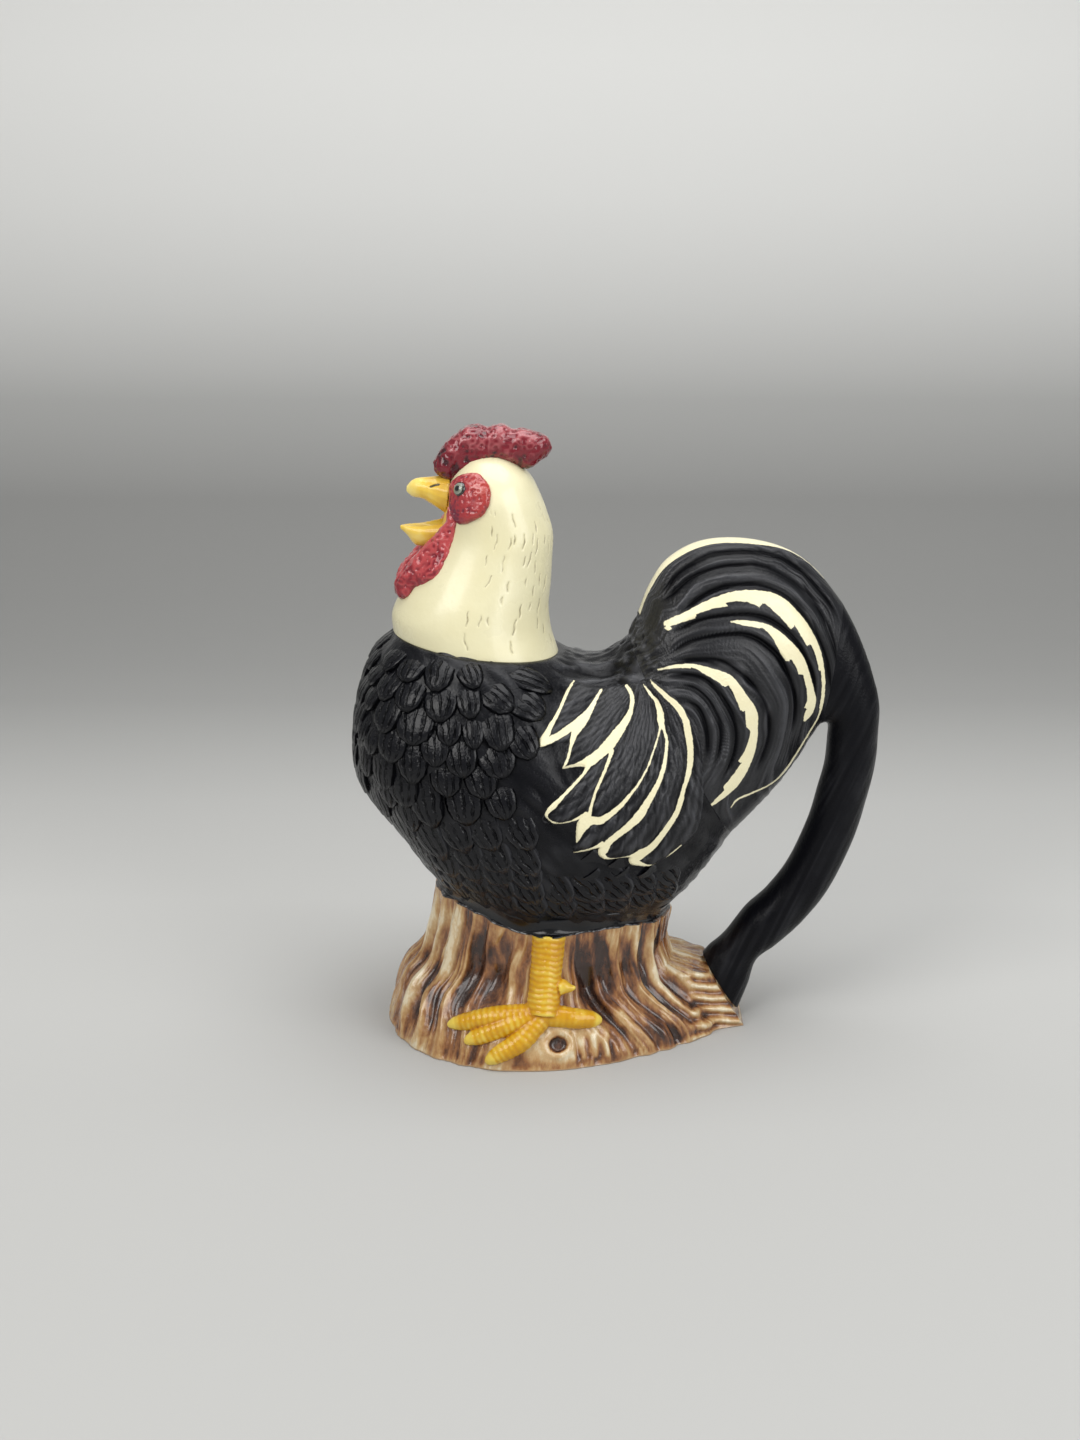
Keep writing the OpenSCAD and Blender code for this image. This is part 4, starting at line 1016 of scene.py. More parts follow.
def headAt(f, g):
    return (seamMid[0] + f * body["neckLength"], seamMid[1] + g * head["height"])


headStations = [tuple(seamFront) + tuple(seamBack) + (head["halfWidth"],)]
headStations += [headAt(r[0], r[1]) + headAt(r[2], r[3]) + (r[4] * head["halfWidth"],) for r in head["rows"]]
beakFoot, beakTop = np.array(headAt(*head["beakFoot"])), np.array(headAt(*head["beakTop"]))
mouthPlace = beakFoot + (beakTop - beakFoot) * head["mouth"]


def makeHead():
    p, q, a = loft(headStations, head["rings"], head["sides"])
    # short incised strokes, staggered over the rear half of the neck
    turn = np.degrees(np.where(a > math.pi, 2 * math.pi - a, a)) + 0 * q
    wide, tall = head["stroke"]
    u, v = turn / wide, (p[..., 2] + 0.25 * p[..., 0]) / tall
    dash = np.full(u.shape, 9.0)
    cu, cv = np.floor(u).astype(np.int64), np.floor(v).astype(np.int64)
    for i in (-1, 0, 1):
        for j in (-1, 0, 1):
            ku, kv = cu + i, cv + j
            aside, up, size, there, tilt, phase = (hashed(ku, kv, 0 * ku, m) for m in (51, 52, 53, 54, 56, 57))
            du = (u - ku - 0.2 - 0.6 * aside) * wide * 0.42
            dv = (v - kv - 0.2 - 0.6 * up) * tall
            reach = 1.2 + 2.2 * size
            bent = du - 0.32 * (tilt - 0.35) * dv - 0.17 * np.sin(dv * 1.3 + 6.3 * phase)
            d = np.hypot(bent, np.maximum(np.abs(dv) - reach, 0)) + 0.12 * np.abs(dv) / reach
            dash = np.where(there < 0.62, np.minimum(dash, d), dash)
    rear = ease((turn - 64) / 20) * ease(q / 0.5) * ease((7.6 - q) / 1.2)
    dash = dash + 3.0 * (1 - rear)
    lift = -0.28 * np.exp(-(dash / 0.35) ** 2) + 0.10 * grain(p, 9.0, 55) * ease(q / 0.4)
    p = p + outward(p) * lift[..., None]
    # the throat opens between the two halves of the beak; its deep part is painted near-black as painted shade
    far = np.hypot(p[..., 1], p[..., 2] - mouthPlace[1])
    mouth = (far < head["throat"]) & (p[..., 0] < mouthPlace[0] + 12)
    deep = np.where(mouth, ease((head["throat"] - far) / 1.2), 0.0)
    p[..., 0] = p[..., 0] + head["gullet"] * deep
    craze = ease((2.2 - q) / 1.2) * ease((60 - turn) / 40)
    edge = np.interp(p[..., 2], *zip(*head["beakEdge"]))
    beak = ease((edge - p[..., 0] + 0.2) / 0.7) * ease((p[..., 2] - 203) / 1.5) * ease((235 - p[..., 2]) / 1.5)
    values = {"dash": withEnds(np.clip(dash, 0, 3), 3, 3), "craze": withEnds(craze),
              "throat": withEnds(deep), "beak": withEnds(beak)}
    settle(makePiece("headAndNeck", *capped(p), values), creamGlaze("cream glaze"), "head_shell")


makeHead()


# Comb, face patches and wattles: pitted red skin

redSkin = dict(
    comb=[(-51.8, 234.2), (-52.3, 238.3), (-50.5, 242.4), (-47.4, 246.1), (-43.9, 249.2), (-40.4, 252.4),
          (-37.5, 253.6),
          (-33.5, 253.6), (-30.3, 252.4), (-27.2, 253.6), (-23.7, 253.4), (-20.6, 251.4), (-16.8, 251.8),
          (-12.2, 251.1),
          (-8.8, 249.9), (-5.9, 247.8), (-4.9, 244.2), (-6.3, 241.0), (-9.3, 238.6), (-12.2, 236.2), (-16.0, 235.5),
          (-20.0, 237.5), (-25.0, 238.5), (-31.0, 237.5), (-37.0, 234.5), (-42.0, 231.5), (-47.0, 231.0)],
    face=[(-45.3, 227.1), (-44.7, 231.0), (-41.6, 234.3), (-37.3, 236.0), (-33.2, 236.0), (-30.0, 233.5),
          (-28.5, 229.1),
          (-29.1, 225.0), (-31.1, 221.6), (-34.8, 218.7), (-38.5, 216.8), (-41.4, 216.1), (-43.2, 217.0),
          (-44.8, 219.8),
          (-45.3, 223.4)],
    wattle=[(-46.0, 217.0), (-45.2, 223.0), (-43.0, 222.0), (-42.2, 216.6), (-43.6, 211.0), (-45.4, 205.6),
            (-47.4, 200.8), (-49.9, 196.6), (-54.0, 193.0),
            (-58.7, 190.2), (-63.0, 186.6), (-66.0, 184.0), (-70.0, 190.0), (-62.0, 197.0), (-55.0, 203.0),
            (-50.0, 209.6), (-47.6, 214.0)],
    combHalf=6.4, round=5.6, faceStand=2.3, wattleStand=2.6, skin=2.6, voxel=0.4, rounds=8,
    combAcross=(-55, -2), combTall=(228, 256), faceReach=(5.6, 8.8), wattleReach=(1.8, 6.6))


def combSheet():
    x, z = (np.arange(*redSkin[key], redSkin["voxel"]) for key in ("combAcross", "combTall"))
    x, z = np.meshgrid(x, z, indexing="ij")
    gap = outlineGap(x, z, redSkin["comb"])
    t = np.clip(gap / redSkin["round"], 0, 1)
    half = redSkin["combHalf"] * np.sqrt(1 - (1 - t) ** 2)
    return closedSheet(np.stack([x, -half, z], -1), np.stack([x, half, z], -1), gap > 0.05)


def skinSheet(outline, stand, low, high):
    # a pad on the head's left side, over the cells of the skin that lie inside the outline
    q = np.arange(low, high, 0.03)[:, None]
    a = np.radians(np.arange(4, 110, 1.0))[None, :]
    p = section(headStations, q + 0 * a, a + 0 * q)
    n = gridNormals(p, closed=False)
    if (n[..., 1] > 0).mean() > 0.5:
        n = -n
    gap = outlineGap(p[..., 0], p[..., 2], outline)
    t = np.clip(gap / redSkin["skin"], 0, 1)
    lift = (stand + 0.6) * np.sqrt(1 - (1 - t) ** 2) - 0.6
    return closedSheet(p + n * lift[..., None], p - n * 1.5, gap > 0.05)


def redPiece(name, node, glaze, sheet, pit, depth, warm=None, core=None):
    piece = makePiece(name, *sheet[:2])
    if core:
        # the wattle keeps the solid's body under its skin
        joinMeshes(piece, [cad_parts[core].data])
    p, n = evenSkin(piece, redSkin["voxel"], redSkin["rounds"])
    hole = ease((0.40 - pits(p, pit, 61)) / 0.26)
    worm = 1 - 2.4 * np.abs(grain(p + 0.8 * grain(p, 4.0, 63)[:, None], pit * 0.8, 62))
    lump = grain(p, 5.5, 64)
    low, high = p[:, 2].min(), p[:, 2].max()
    up = (p[:, 2] - low) / (high - low)
    # the shade lightens towards the top of each piece as painted light from above, darkens in the pits as painted
    # shade, and is lighter along the worm ridges
    shade = np.clip(0.08 + 0.44 * up + (0.17 + 0.24 * up) * worm + 0.28 * lump - 0.22 * hole, 0, 1)
    glow = ease((p[:, 0] - warm[0]) / (warm[1] - warm[0])) * (0.6 + 0.4 * lump) if warm else np.zeros(len(p))
    p = p + n * (-0.8 * depth * hole + 0.36 * depth * worm + 0.45 * lump)[:, None]
    if warm:
        # the face sinks and darkens round the eye
        away = np.linalg.norm(p - eyeSeat, axis=1)
        p = p - n * (1.1 * ease((3.6 - away) / 1.4))[:, None]
        shade = shade * (0.35 + 0.65 * ease((away - 2.6) / 2.0))
    setShape(piece, p, {"relief": shade, "warm": glow}, name.startswith("right"))
    settle(piece, glaze, node)


eye = dict(station=7.5, angle=50.0, out=1.8, radius=3.0, tall=2.1, rings=16, sides=48)
eyeSeat = section(headStations, np.array(eye["station"]), np.array(math.radians(eye["angle"])))
combGlaze = redGlaze("comb glaze", (0.045, 0.003, 0.008), (0.175, 0.009, 0.018), (0.36, 0.085, 0.095))
faceGlaze = redGlaze("face glaze", (0.16, 0.020, 0.040), (0.36, 0.035, 0.042), (0.58, 0.20, 0.19))
wattleGlaze = redGlaze("wattle glaze", (0.22, 0.012, 0.022), (0.46, 0.060, 0.065), (0.66, 0.27, 0.25))
redPiece("combCrest", "comb", combGlaze, combSheet(), pit=2.4, depth=0.42)
face = skinSheet(redSkin["face"], redSkin["faceStand"], *redSkin["faceReach"])
for side in ("left", "right"):
    redPiece(side + "Face", side + "_face_patch", faceGlaze, face, pit=2.0, depth=0.34,
             warm=(-42, -29))
wattle = skinSheet(redSkin["wattle"], redSkin["wattleStand"], *redSkin["wattleReach"])
for side in ("left", "right"):
    redPiece(side + "Wattle", side + "_wattle", wattleGlaze, wattle, pit=2.4, depth=0.36,
             core="left_wattle")


# Beak

beak = dict(voxel=0.34, rounds=5, nostril=[(-49.8, 230.4), (-51.6, 230.0), (-53.2, 229.4)])


def beakHalf(node, name):
    piece = newObject(name, bpy.data.meshes.new(name))
    joinMeshes(piece, [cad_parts[node].data])
    p, n = evenSkin(piece, beak["voxel"], beak["rounds"])
    low, high = p[:, 0].min(), p[:, 0].max()
    tip = (high - p[:, 0]) / (high - low)
    mark = np.zeros(len(p))
    if node == "upper_beak":
        # the nostril is one short dark stroke on each side
        away = nearLine(p[:, 0], p[:, 2], beak["nostril"])[0]
        mark = ease((0.55 - away) / 0.35) * (np.abs(p[:, 1]) > 1.5)
        p = p - n * (0.3 * mark)[:, None]
        p[:, 2] = p[:, 2] + 1.5 * ease((tip - 0.45) / 0.55)
    else:
        p[:, 2] = p[:, 2] - 1.8 * ease((211 - p[:, 2]) / 4) * ease((0.95 - tip) / 0.3)
    setShape(piece, p, {"relief": np.clip(0.55 + 0.35 * tip + 0.1 * grain(p, 4.0, 71), 0, 1), "mark": mark})
    settle(piece, beakGlaze, node)


beakGlaze = yellowGlaze("beak glaze", [(0.34, 0.13, 0.006), (0.62, 0.32, 0.020), (0.80, 0.54, 0.075),
                                       (0.86, 0.70, 0.22)])
beakHalf("upper_beak", "upperBeak")
beakHalf("lower_beak", "lowerBeak")


# Eyes: domes with iris and pupil in rings about their own axis

def headNormal(point):
    p = loft(headStations, 80, 180, (5, 9))[0]
    d = np.linalg.norm(p - point, axis=-1)
    return outward(p)[np.unravel_index(d.argmin(), d.shape)]


def makeEye(node, name, mirror):
    flip = np.array([1, mirror, 1])
    way = headNormal(eyeSeat) * flip
    centre = eyeSeat * flip + way * eye["out"]
    aside = np.cross(way, [0, 0, 1.0])
    aside /= np.linalg.norm(aside)
    up = np.cross(aside, way)
    r = 1.0 - np.arange(eye["rings"])[:, None, None] / eye["rings"]
    w = 2 * math.pi * np.arange(eye["sides"])[None, :, None] / eye["sides"]
    dome = centre + way * eye["tall"] * np.sqrt(1 - r * r)
    points, faces = capped(dome + eye["radius"] * r * (aside * np.cos(w) + up * np.sin(w)))
    points[-1] = centre + way * eye["tall"]
    ring = withEnds((r + 0 * w)[..., 0], 1.0, 0.0)
    settle(makePiece(name, points, faces, {"ring": ring}), eyePaint, node)


eyePaint = eyeGlaze("eye glaze")
makeEye("left_eye", "leftEye", 1)
makeEye("right_eye", "rightEye", -1)


# Stump: bark in long ridges and furrows, with broad roots below

stump = dict(
    length=148.0, width=118.0, height=53.0, rise=8.0, bark=2.8, hollow=4.5, heel=15.0,
    mouthX=-4.0, mouthLength=92.5, mouthWidth=82.0, wall=1.8, ledge=37.75, legAngle=268.0,
    sides=640, rings=120, knot=(-2.0, 10.0),
    rows=[(0, 0, 1, 1), (.08, 0, .985, .985), (.20, -2, .930, .945), (.37, -6, .820, .870), (.48, -6.5, .735, .815),
          (.58, -6, .700, .780), (.75, -6, .672, .755), (.90, -4.6, .668, .745), (1, -4, .670, .740)],
    # angle at the rim, angle at the foot, share of the depth
    columns=[(183, 181, -.25), (190, 187, .35), (198, 194, -.40), (205, 201, .35), (212, 208, -.50), (218, 214, .35),
             (223, 219, -.35), (229, 225, .35), (234, 231, -.85), (240, 235, .35), (247, 239, -.55), (254, 248, .35),
             (261, 258, .20), (268, 268, .20), (275, 277, .20), (280, 286, .35), (285, 295, -.90), (291, 299, .35),
             (296, 303, -.45), (302, 307, .35), (308, 312, -.65), (314, 316, .35), (320, 321, -.55), (328, 326, .35),
             (335, 330, -.50), (343, 339, .30), (350, 348, .20), (356, 356, .20)],
    # x, z, half width, half height, lean, stand-out, paleness
    spots=[(-37.6, 44.0, 4.6, 14.0, 6, -1.0, -.38), (-43.0, 51.0, 4.0, 4.5, 0, .7, .26),
           (5.8, 44.0, 3.4, 14.0, 4, -.9, -.36),
           (15.4, 40.0, 2.6, 14.0, 12, -.7, -.40), (20.0, 46.0, 2.4, 10.0, 4, .4, .32),
           (30.2, 34.0, 1.8, 8.0, 22, -.6, -.40),
           (38.4, 10.0, 1.9, 8.0, 38, -.7, -.42), (-39.0, 28.0, 2.2, 9.0, -34, -.8, -.42),
           (-30.0, 34.0, 3.0, 9.0, -30, .5, .24),
           (-54.0, 24.0, 2.0, 9.0, -24, -.5, -.34), (-47.0, 34.0, 2.6, 12.0, -8, .5, .20),
           (25.0, 16.0, 2.0, 8.0, 30, .5, .24),
           (-61.0, 17.0, 6.0, 8.0, -15, .2, .26), (31.0, 45.0, 4.0, 8.0, 8, .2, .24)])


def rimHeight(a):
    c = np.cos(a)
    return stump["height"] + stump["rise"] * ease((-c - .25) / .75) - 3 * ease((c - .4) / .6) + 0.8 * np.sin(5 * a)


def stumpPoint(a, q, out):
    rows = [(r[0], r[1], r[2] * stump["length"] / 2, r[3] * stump["width"] / 2) for r in stump["rows"]]
    s = along(rows, q)
    c = np.cos(a)
    egg = 1 - np.where(c > 0, .28, .22) * c * (1 - ease(s[..., 0] / .6))
    x, y = s[..., 1] + (s[..., 2] + out) * c, (s[..., 3] + out) * np.sin(a) * egg
    return np.stack([x, y, s[..., 0] * rimHeight(a)], -1)


def sideTurn(a):
    d = np.degrees(a) % 360
    return np.where(d > 180, d, 360 - d)


def barkFlow(a, f):
    # counts the columns of the bark from the front, so that lines of one count run down along the furrows
    rim, foot, _ = np.array(stump["columns"]).T
    turn = sideTurn(a)
    count = np.zeros(turn.shape)
    for i in range(turn.shape[0]):
        marks = foot + (rim - foot) * f[i, 0]
        marks = np.concatenate([[360 - marks[0]], marks, [720 - marks[-1]]])
        count[i] = np.interp(turn[i], marks, np.arange(-1, len(rim) + 1))
    return count


def columnHeight(count):
    share = np.array([c[2] for c in stump["columns"]])
    share = np.concatenate([share[:1], share, share[-1:]])
    i = np.clip(np.floor(count).astype(int) + 1, 0, len(share) - 2)
    t = ease(count - np.floor(count))
    return share[i] + (share[i + 1] - share[i]) * t


def legHollow(a, f):
    return hump((np.abs(sideTurn(a) - stump["legAngle"]) - 26) / 15) * hump((f - .6) / .42)


def heelRoot(a, f):
    d = np.degrees(a) % 360
    near = np.abs(np.where(d > 180, d - 360, d))
    return (1 - ease((near - 10) / 18)) * (1 - ease((f - .47) / .1))


def heelLimit(z):
    (tx, tz), (fx, fz) = handle["heelTop"], handle["heelFoot"]
    return fx + (tx - fx) * (z - fz) / (tz - fz)


def makeStump():
    last = len(stump["rows"]) - 1
    q = np.linspace(0, last, stump["rings"])[:, None]
    a = np.radians((np.arange(stump["sides"]) + 0.5) * 360.0 / stump["sides"])[None, :]
    f = along([(r[0],) for r in stump["rows"]], q)[..., 0] + 0 * a
    aa, qq = a + 0 * q, q + 0 * a
    count = barkFlow(aa, f)
    other = np.where(np.sin(aa) > 0, 37.0, 0.0)

    def bark(across, down, seed, sway=0.0):
        return grain(np.stack([count * across + sway, f * down, other], -1), 1.0, seed)

    fade = (.4 + .6 * ease(f / .25)) * (1 - .6 * ease((f - .8) / .2))
    main = columnHeight(count) * (1 + 0.6 * bark(0.7, 3.6, 90))
    hollow, heel = legHollow(aa, f), heelRoot(aa, f)
    p = stumpPoint(aa, qq, stump["bark"] * main * fade - stump["hollow"] * hollow + stump["heel"] * heel)
    x, y, z = p[..., 0], p[..., 1], p[..., 2]
    # finer ridges run with the furrows, and cross the heel root in waves
    wander = 1.5 * grain(p, 12.0, 81)
    ridge = 1 - 1.8 * np.abs(bark(1.5, 2.6, 82, 0.5 * wander))
    line, hair = bark(5.2, 1.9, 83, 1.1 * wander), bark(11.0, 3.2, 84, 1.6 * wander)
    wave = np.sin((z + 0.16 * (x - 60) + 1.1 * wander) * 2 * math.pi / 4.3)
    onHeel = ease((x - 51) / 6) * (1 - ease((f - .47) / .1))
    crack = np.where(main < 0, np.clip(-main, 0, 1), 0) ** 1.5
    quiet = 1 - 0.65 * hollow
    lift = quiet * (0.74 * (ridge - 0.45) + 0.46 * line + 0.20 * hair) - 0.7 * crack
    lift = lift * (1 - onHeel) + onHeel * (0.85 * wave + 0.15 * line)
    lift = lift * ((0.25 + 0.75 * ease(q / 0.7)) * (0.5 + 0.5 * ease((last - q) / 0.6)))
    tone = np.zeros(x.shape)
    for sx, sz, half, tall, lean, stand, pale in stump["spots"]:
        c, s = math.cos(math.radians(lean)), math.sin(math.radians(lean))
        dx, dz = x - sx + 0.8 * wander, z - sz
        spot = np.exp(-((dx * c + dz * s) / half) ** 2 - ((dz * c - dx * s) / tall) ** 2)
        lift, tone = lift + stand * spot, tone + pale * spot
    kx, kz = stump["knot"]
    knot = np.where(y < 0, np.hypot((x - kx) / 1.25, z - kz), 99.0)
    ribs = ease((x - kx - 5) / 2) * ease((kx + 24 - x) / 4) * ease((14 - z) / 4) * ease((z - 2.5) / 2) * (y < 0)
    ribs = ribs * np.sin((x - kx + 0.18 * z + 0.8 * wander) * 2 * math.pi / 5.0)
    lift = lift * ease((knot - 2.0) / 5.0) - 1.7 * ease((3.6 - knot) / 1.8)
    lift = lift + 0.7 * np.exp(-((knot - 4.6) / 1.2) ** 2) + 0.6 * ribs
    p = p + outward(p) * lift[..., None]
    # furrows grow shallow where they would reach the wall of the mouth
    dx = p[..., 0] - stump["mouthX"]
    wall = stump["wall"] - 0.3 * np.maximum(stump["ledge"] - p[..., 2], 0)
    reach = np.hypot(dx / (stump["mouthLength"] / 2 + wall), p[..., 1] / (stump["mouthWidth"] / 2 + wall))
    push = np.where(reach < 1, (0.75 + 0.25 * reach) / reach, 1.0)
    p[..., 0], p[..., 1] = stump["mouthX"] + dx * push, p[..., 1] * push
    p[..., 2] = np.maximum(p[..., 2], 0.0)
    p[0, :, 2] = 0.0
    p[..., 0] = np.minimum(p[..., 0], heelLimit(p[..., 2]))
    patch = 0.75 + 0.75 * bark(0.8, 3.2, 88, 0.6 * wander)
    deep = np.where(main < 0, 0.60 * patch, 0.40) * main * fade
    relief = 0.50 + 0.20 * bark(1.1, 2.4, 89, 0.5 * wander) + deep + 0.16 * lift + (0.13 * line + 0.05 * hair) * quiet
    # the bark is darker in the hollows beside the leg: painted shade
    relief = relief - 0.30 * hollow + 0.24 * grain(p, 13.0, 86) + onHeel * 0.2 * wave + tone
    pale = ease((knot - 2.6) / 0.8) * ease((9.5 - knot) / 4.0)
    relief = relief + pale * (0.84 - relief) + ribs * 0.22 + 0.16 * ease((3.0 - p[..., 2]) / 2.5)
    relief = np.clip(relief - 0.54 * ease((3.5 + 0.5 * wander - knot) / 0.8), 0, 1)
    mark = ease((qq - last + 0.10 + 0.12 * grain(p, 5.0, 85)) / 0.10)
    clay = ease((0.75 - p[..., 2]) / 0.5)
    # over the rim, down into the mouth, and across the foot
    c, s, rim = np.cos(a), np.sin(a), rimHeight(a)
    inner = [np.stack([stump["mouthX"] + (stump["mouthLength"] / 2 - inset) * c,
                       (stump["mouthWidth"] / 2 - inset) * s, height + 0 * c], -1)
             for inset, height in ((-1.6, rim + 0.9), (-0.6, rim + 0.5), (0, rim - 1.0), (1.5, stump["ledge"]))]
    under = [p[:1] * np.array([k, k, 0.0]) + np.array([0, 0, h]) for k, h in ((0.3, 1.2), (0.9, 1.2), (0.955, 0.0))]

    def stretched(value, low, high):
        ends = (np.full((len(part), stump["sides"]), end) for part, end in ((under, low), (inner, high)))
        return withEnds(np.concatenate([next(ends), value, next(ends)]))

    values = {"relief": stretched(relief, 0.6, 0.3), "mark": stretched(mark, 0.0, 1.0),
              "clay": stretched(clay, 1.0, 0.0)}
    piece = makePiece("stumpBark", *capped(np.concatenate(under + [p] + inner)), values)
    settle(piece, barkGlaze("bark glaze"), "stump_base")


makeStump()


# Collar: the smooth black band where the body sits in the stump's mouth

collar = dict(sides=300, rows=12, up=7.5, overLeg=5.6)


def makeCollar():
    a = np.radians(np.arange(collar["sides"]) * 360.0 / collar["sides"])
    last = len(stump["rows"]) - 1
    # the glaze runs out over the tops of the legs
    over = -0.7 + collar["overLeg"] * hump((sideTurn(a) - stump["legAngle"]) / 15)
    edge = stumpPoint(a, np.full(a.shape, float(last)), over)
    rim = rimHeight(a)
    middle = np.array([stump["mouthX"], 0.0])

    def bodyPoint(k, z):
        way = Vector((math.cos(a[k]), math.sin(a[k]), 0))
        hit = bodyTree.ray_cast(Vector((middle[0], 0, float(z))) + way * outside, -way)
        return np.array(hit[0])

    rings = np.zeros((collar["rows"] + 2, collar["sides"], 3))
    for k in range(collar["sides"]):
        start = np.array([edge[k, 0], edge[k, 1], rim[k] + 0.75])
        end = bodyPoint(k, rim[k] + collar["up"])
        seat = bodyPoint(k, rim[k] + 2.2)
        bend = np.array([*(0.3 * start[:2] + 0.7 * seat[:2]), rim[k] + 1.8])
        for i, t in enumerate(np.linspace(0, 1, collar["rows"])):
            rings[i, k] = (1 - t) ** 2 * start + 2 * t * (1 - t) * bend + t * t * end
        inward = middle - end[:2]
        inward = inward / np.linalg.norm(inward)
        rings[-2, k] = end + np.array([*(inward * 3.0), 0.5])
        rings[-1, k] = start + np.array([*(inward * 4.5), -2.5])
    wave = grain(rings, 7.0, 95)
    rings[1:collar["rows"] - 1] += np.array([0, 0, 0.35]) * wave[1:collar["rows"] - 1, :, None]
    faces = ringFaces(rings.shape[0], collar["sides"]).tolist()
    k = np.arange(collar["sides"])
    nextK = (k + 1) % collar["sides"]
    top = (rings.shape[0] - 1) * collar["sides"]
    faces += np.stack([top + k, k, nextK, top + nextK], 1).tolist()
    piece = makePiece("bodyCollar", rings.reshape(-1, 3), faces, {"relief": 0.4 + 0.2 * wave.ravel()})
    settle(piece, blackGlaze("collar glaze", rough=(0.14, 0.26), coat=0.6), "body_shell")


makeCollar()


# Legs: ringed shanks and toes swept along their own paths

leg = dict(
    shank=7.3, toe=4.5, ring=2.3, depth=0.045, toeRing=2.4, toeDepth=0.055, plainDepth=0.02, sides=40, voxel=0.4, rounds=3,
    foot=(268, 3.25, 0.5), top=(268, 7.8, -2.0),
    toes=[((258, 2.2, 1.5), (246, .95, 1.0)), ((254.5, 2.75, 1.5), (238.5, 1.9, 1.0)),
          ((250, 3.0, 1.5), (231.5, 2.35, 1.0)), ((279, 3.0, 1.0), (288, 2.75, 1.0))],
    spur=((275, 5.2, 4.0), (281, 5.3, 6.0)))


def onStump(place):
    a, q, out = place
    return stumpPoint(np.array(math.radians(a)), np.array(float(q)), out)


def limbTree():
    kind = "ShaderNodeMath"
    nodes = dict(
        even=("GeometryNodeResampleCurve", {"mode": "LENGTH"}, {"Length": 0.35 * mm}),
        param=("GeometryNodeSplineParameter", {}, {}), count=(kind, {"operation": "DIVIDE"}, {}),
        wave=(kind, {"operation": "PINGPONG"}, {1: 0.5}), shape=(kind, {"operation": "POWER"}, {1: 0.30}),
        deep=(kind, {"operation": "MULTIPLY"}, {}), base=(kind, {"operation": "ADD"}, {1: 0.94}),
        radius=("GeometryNodeInputRadius", {}, {}), grown=(kind, {"operation": "MULTIPLY"}, {}),
        swell=("GeometryNodeSetCurveRadius", {}, {}), ring=("GeometryNodeCurvePrimitiveCircle", {}, {"Radius": 1.0}),
        sweep=("GeometryNodeCurveToMesh", {}, {"Fill Caps": True}), real=("GeometryNodeRealizeInstances", {}, {}),
        paint=("GeometryNodeSetMaterial", {}, {}))
    links = [("given", "Path", "even", "Curve"), ("param", "Length", "count", 0), ("given", "Ring", "count", 1),
             ("count", 0, "wave", 0), ("wave", 0, "shape", 0), ("shape", 0, "deep", 0), ("given", "Depth", "deep", 1),
             ("deep", 0, "base", 0), ("base", 0, "grown", 0), ("radius", 0, "grown", 1),
             ("even", "Curve", "swell", "Curve"),
             ("grown", 0, "swell", "Radius"), ("given", "Sides", "ring", "Resolution"),
             ("swell", "Curve", "sweep", "Curve"),
             ("ring", "Curve", "sweep", "Profile Curve"), ("sweep", "Mesh", "real", "Geometry"),
             ("real", "Geometry", "paint", "Geometry"), ("given", "Finish", "paint", "Material"),
             ("paint", "Geometry", "result", "Limb")]
    given = [("Path", "Geometry"), ("Ring", "Float"), ("Depth", "Float"), ("Sides", "Int"), ("Finish", "Material")]
    tree = growTree("ringedLimb", given, "Limb", nodes, links)
    if "Scale" in tree.nodes["sweep"].inputs:
        tree.links.new(tree.nodes["grown"].outputs[0], tree.nodes["sweep"].inputs["Scale"])
    return tree


def sweptLimbs(paths, ring, depth):
    # paths hold (x, y, z, radius) in millimetres, run through smooth curves
    curve = bpy.data.curves.new("limbs", "CURVE")
    curve.dimensions = "3D"
    for points in paths:
        fine = along(points, np.linspace(0, len(points) - 1, 24))
        spline = curve.splines.new("POLY")
        spline.points.add(len(fine) - 1)
        for knot, (x, y, z, r) in zip(spline.points, fine):
            knot.co = (x * mm, y * mm, z * mm, 1.0)
            knot.radius = r * mm
    path = newObject("limbs", curve)
    tree = bpy.data.node_groups.get("ringedLimb") or limbTree()
    mesh = grownMesh(path, tree, {"Ring": ring * mm, "Depth": depth, "Sides": leg["sides"], "Finish": legGlaze})
    bpy.data.objects.remove(path)
    return mesh


def averaged(piece, rounds):
    # the same points after neighbours are averaged, for telling ridges from grooves
    edge = np.empty(len(piece.data.edges) * 2, np.int32)
    piece.data.edges.foreach_get("vertices", edge)
    edge = edge.reshape(-1, 2)
    p = meshArrays(piece)[0]
    count = np.bincount(edge.ravel(), minlength=len(p))[:, None]
    for _ in range(rounds):
        total = np.zeros_like(p)
        np.add.at(total, edge[:, 0], p[edge[:, 1]])
        np.add.at(total, edge[:, 1], p[edge[:, 0]])
        p = 0.5 * p + 0.5 * total / np.maximum(count, 1)
    return p


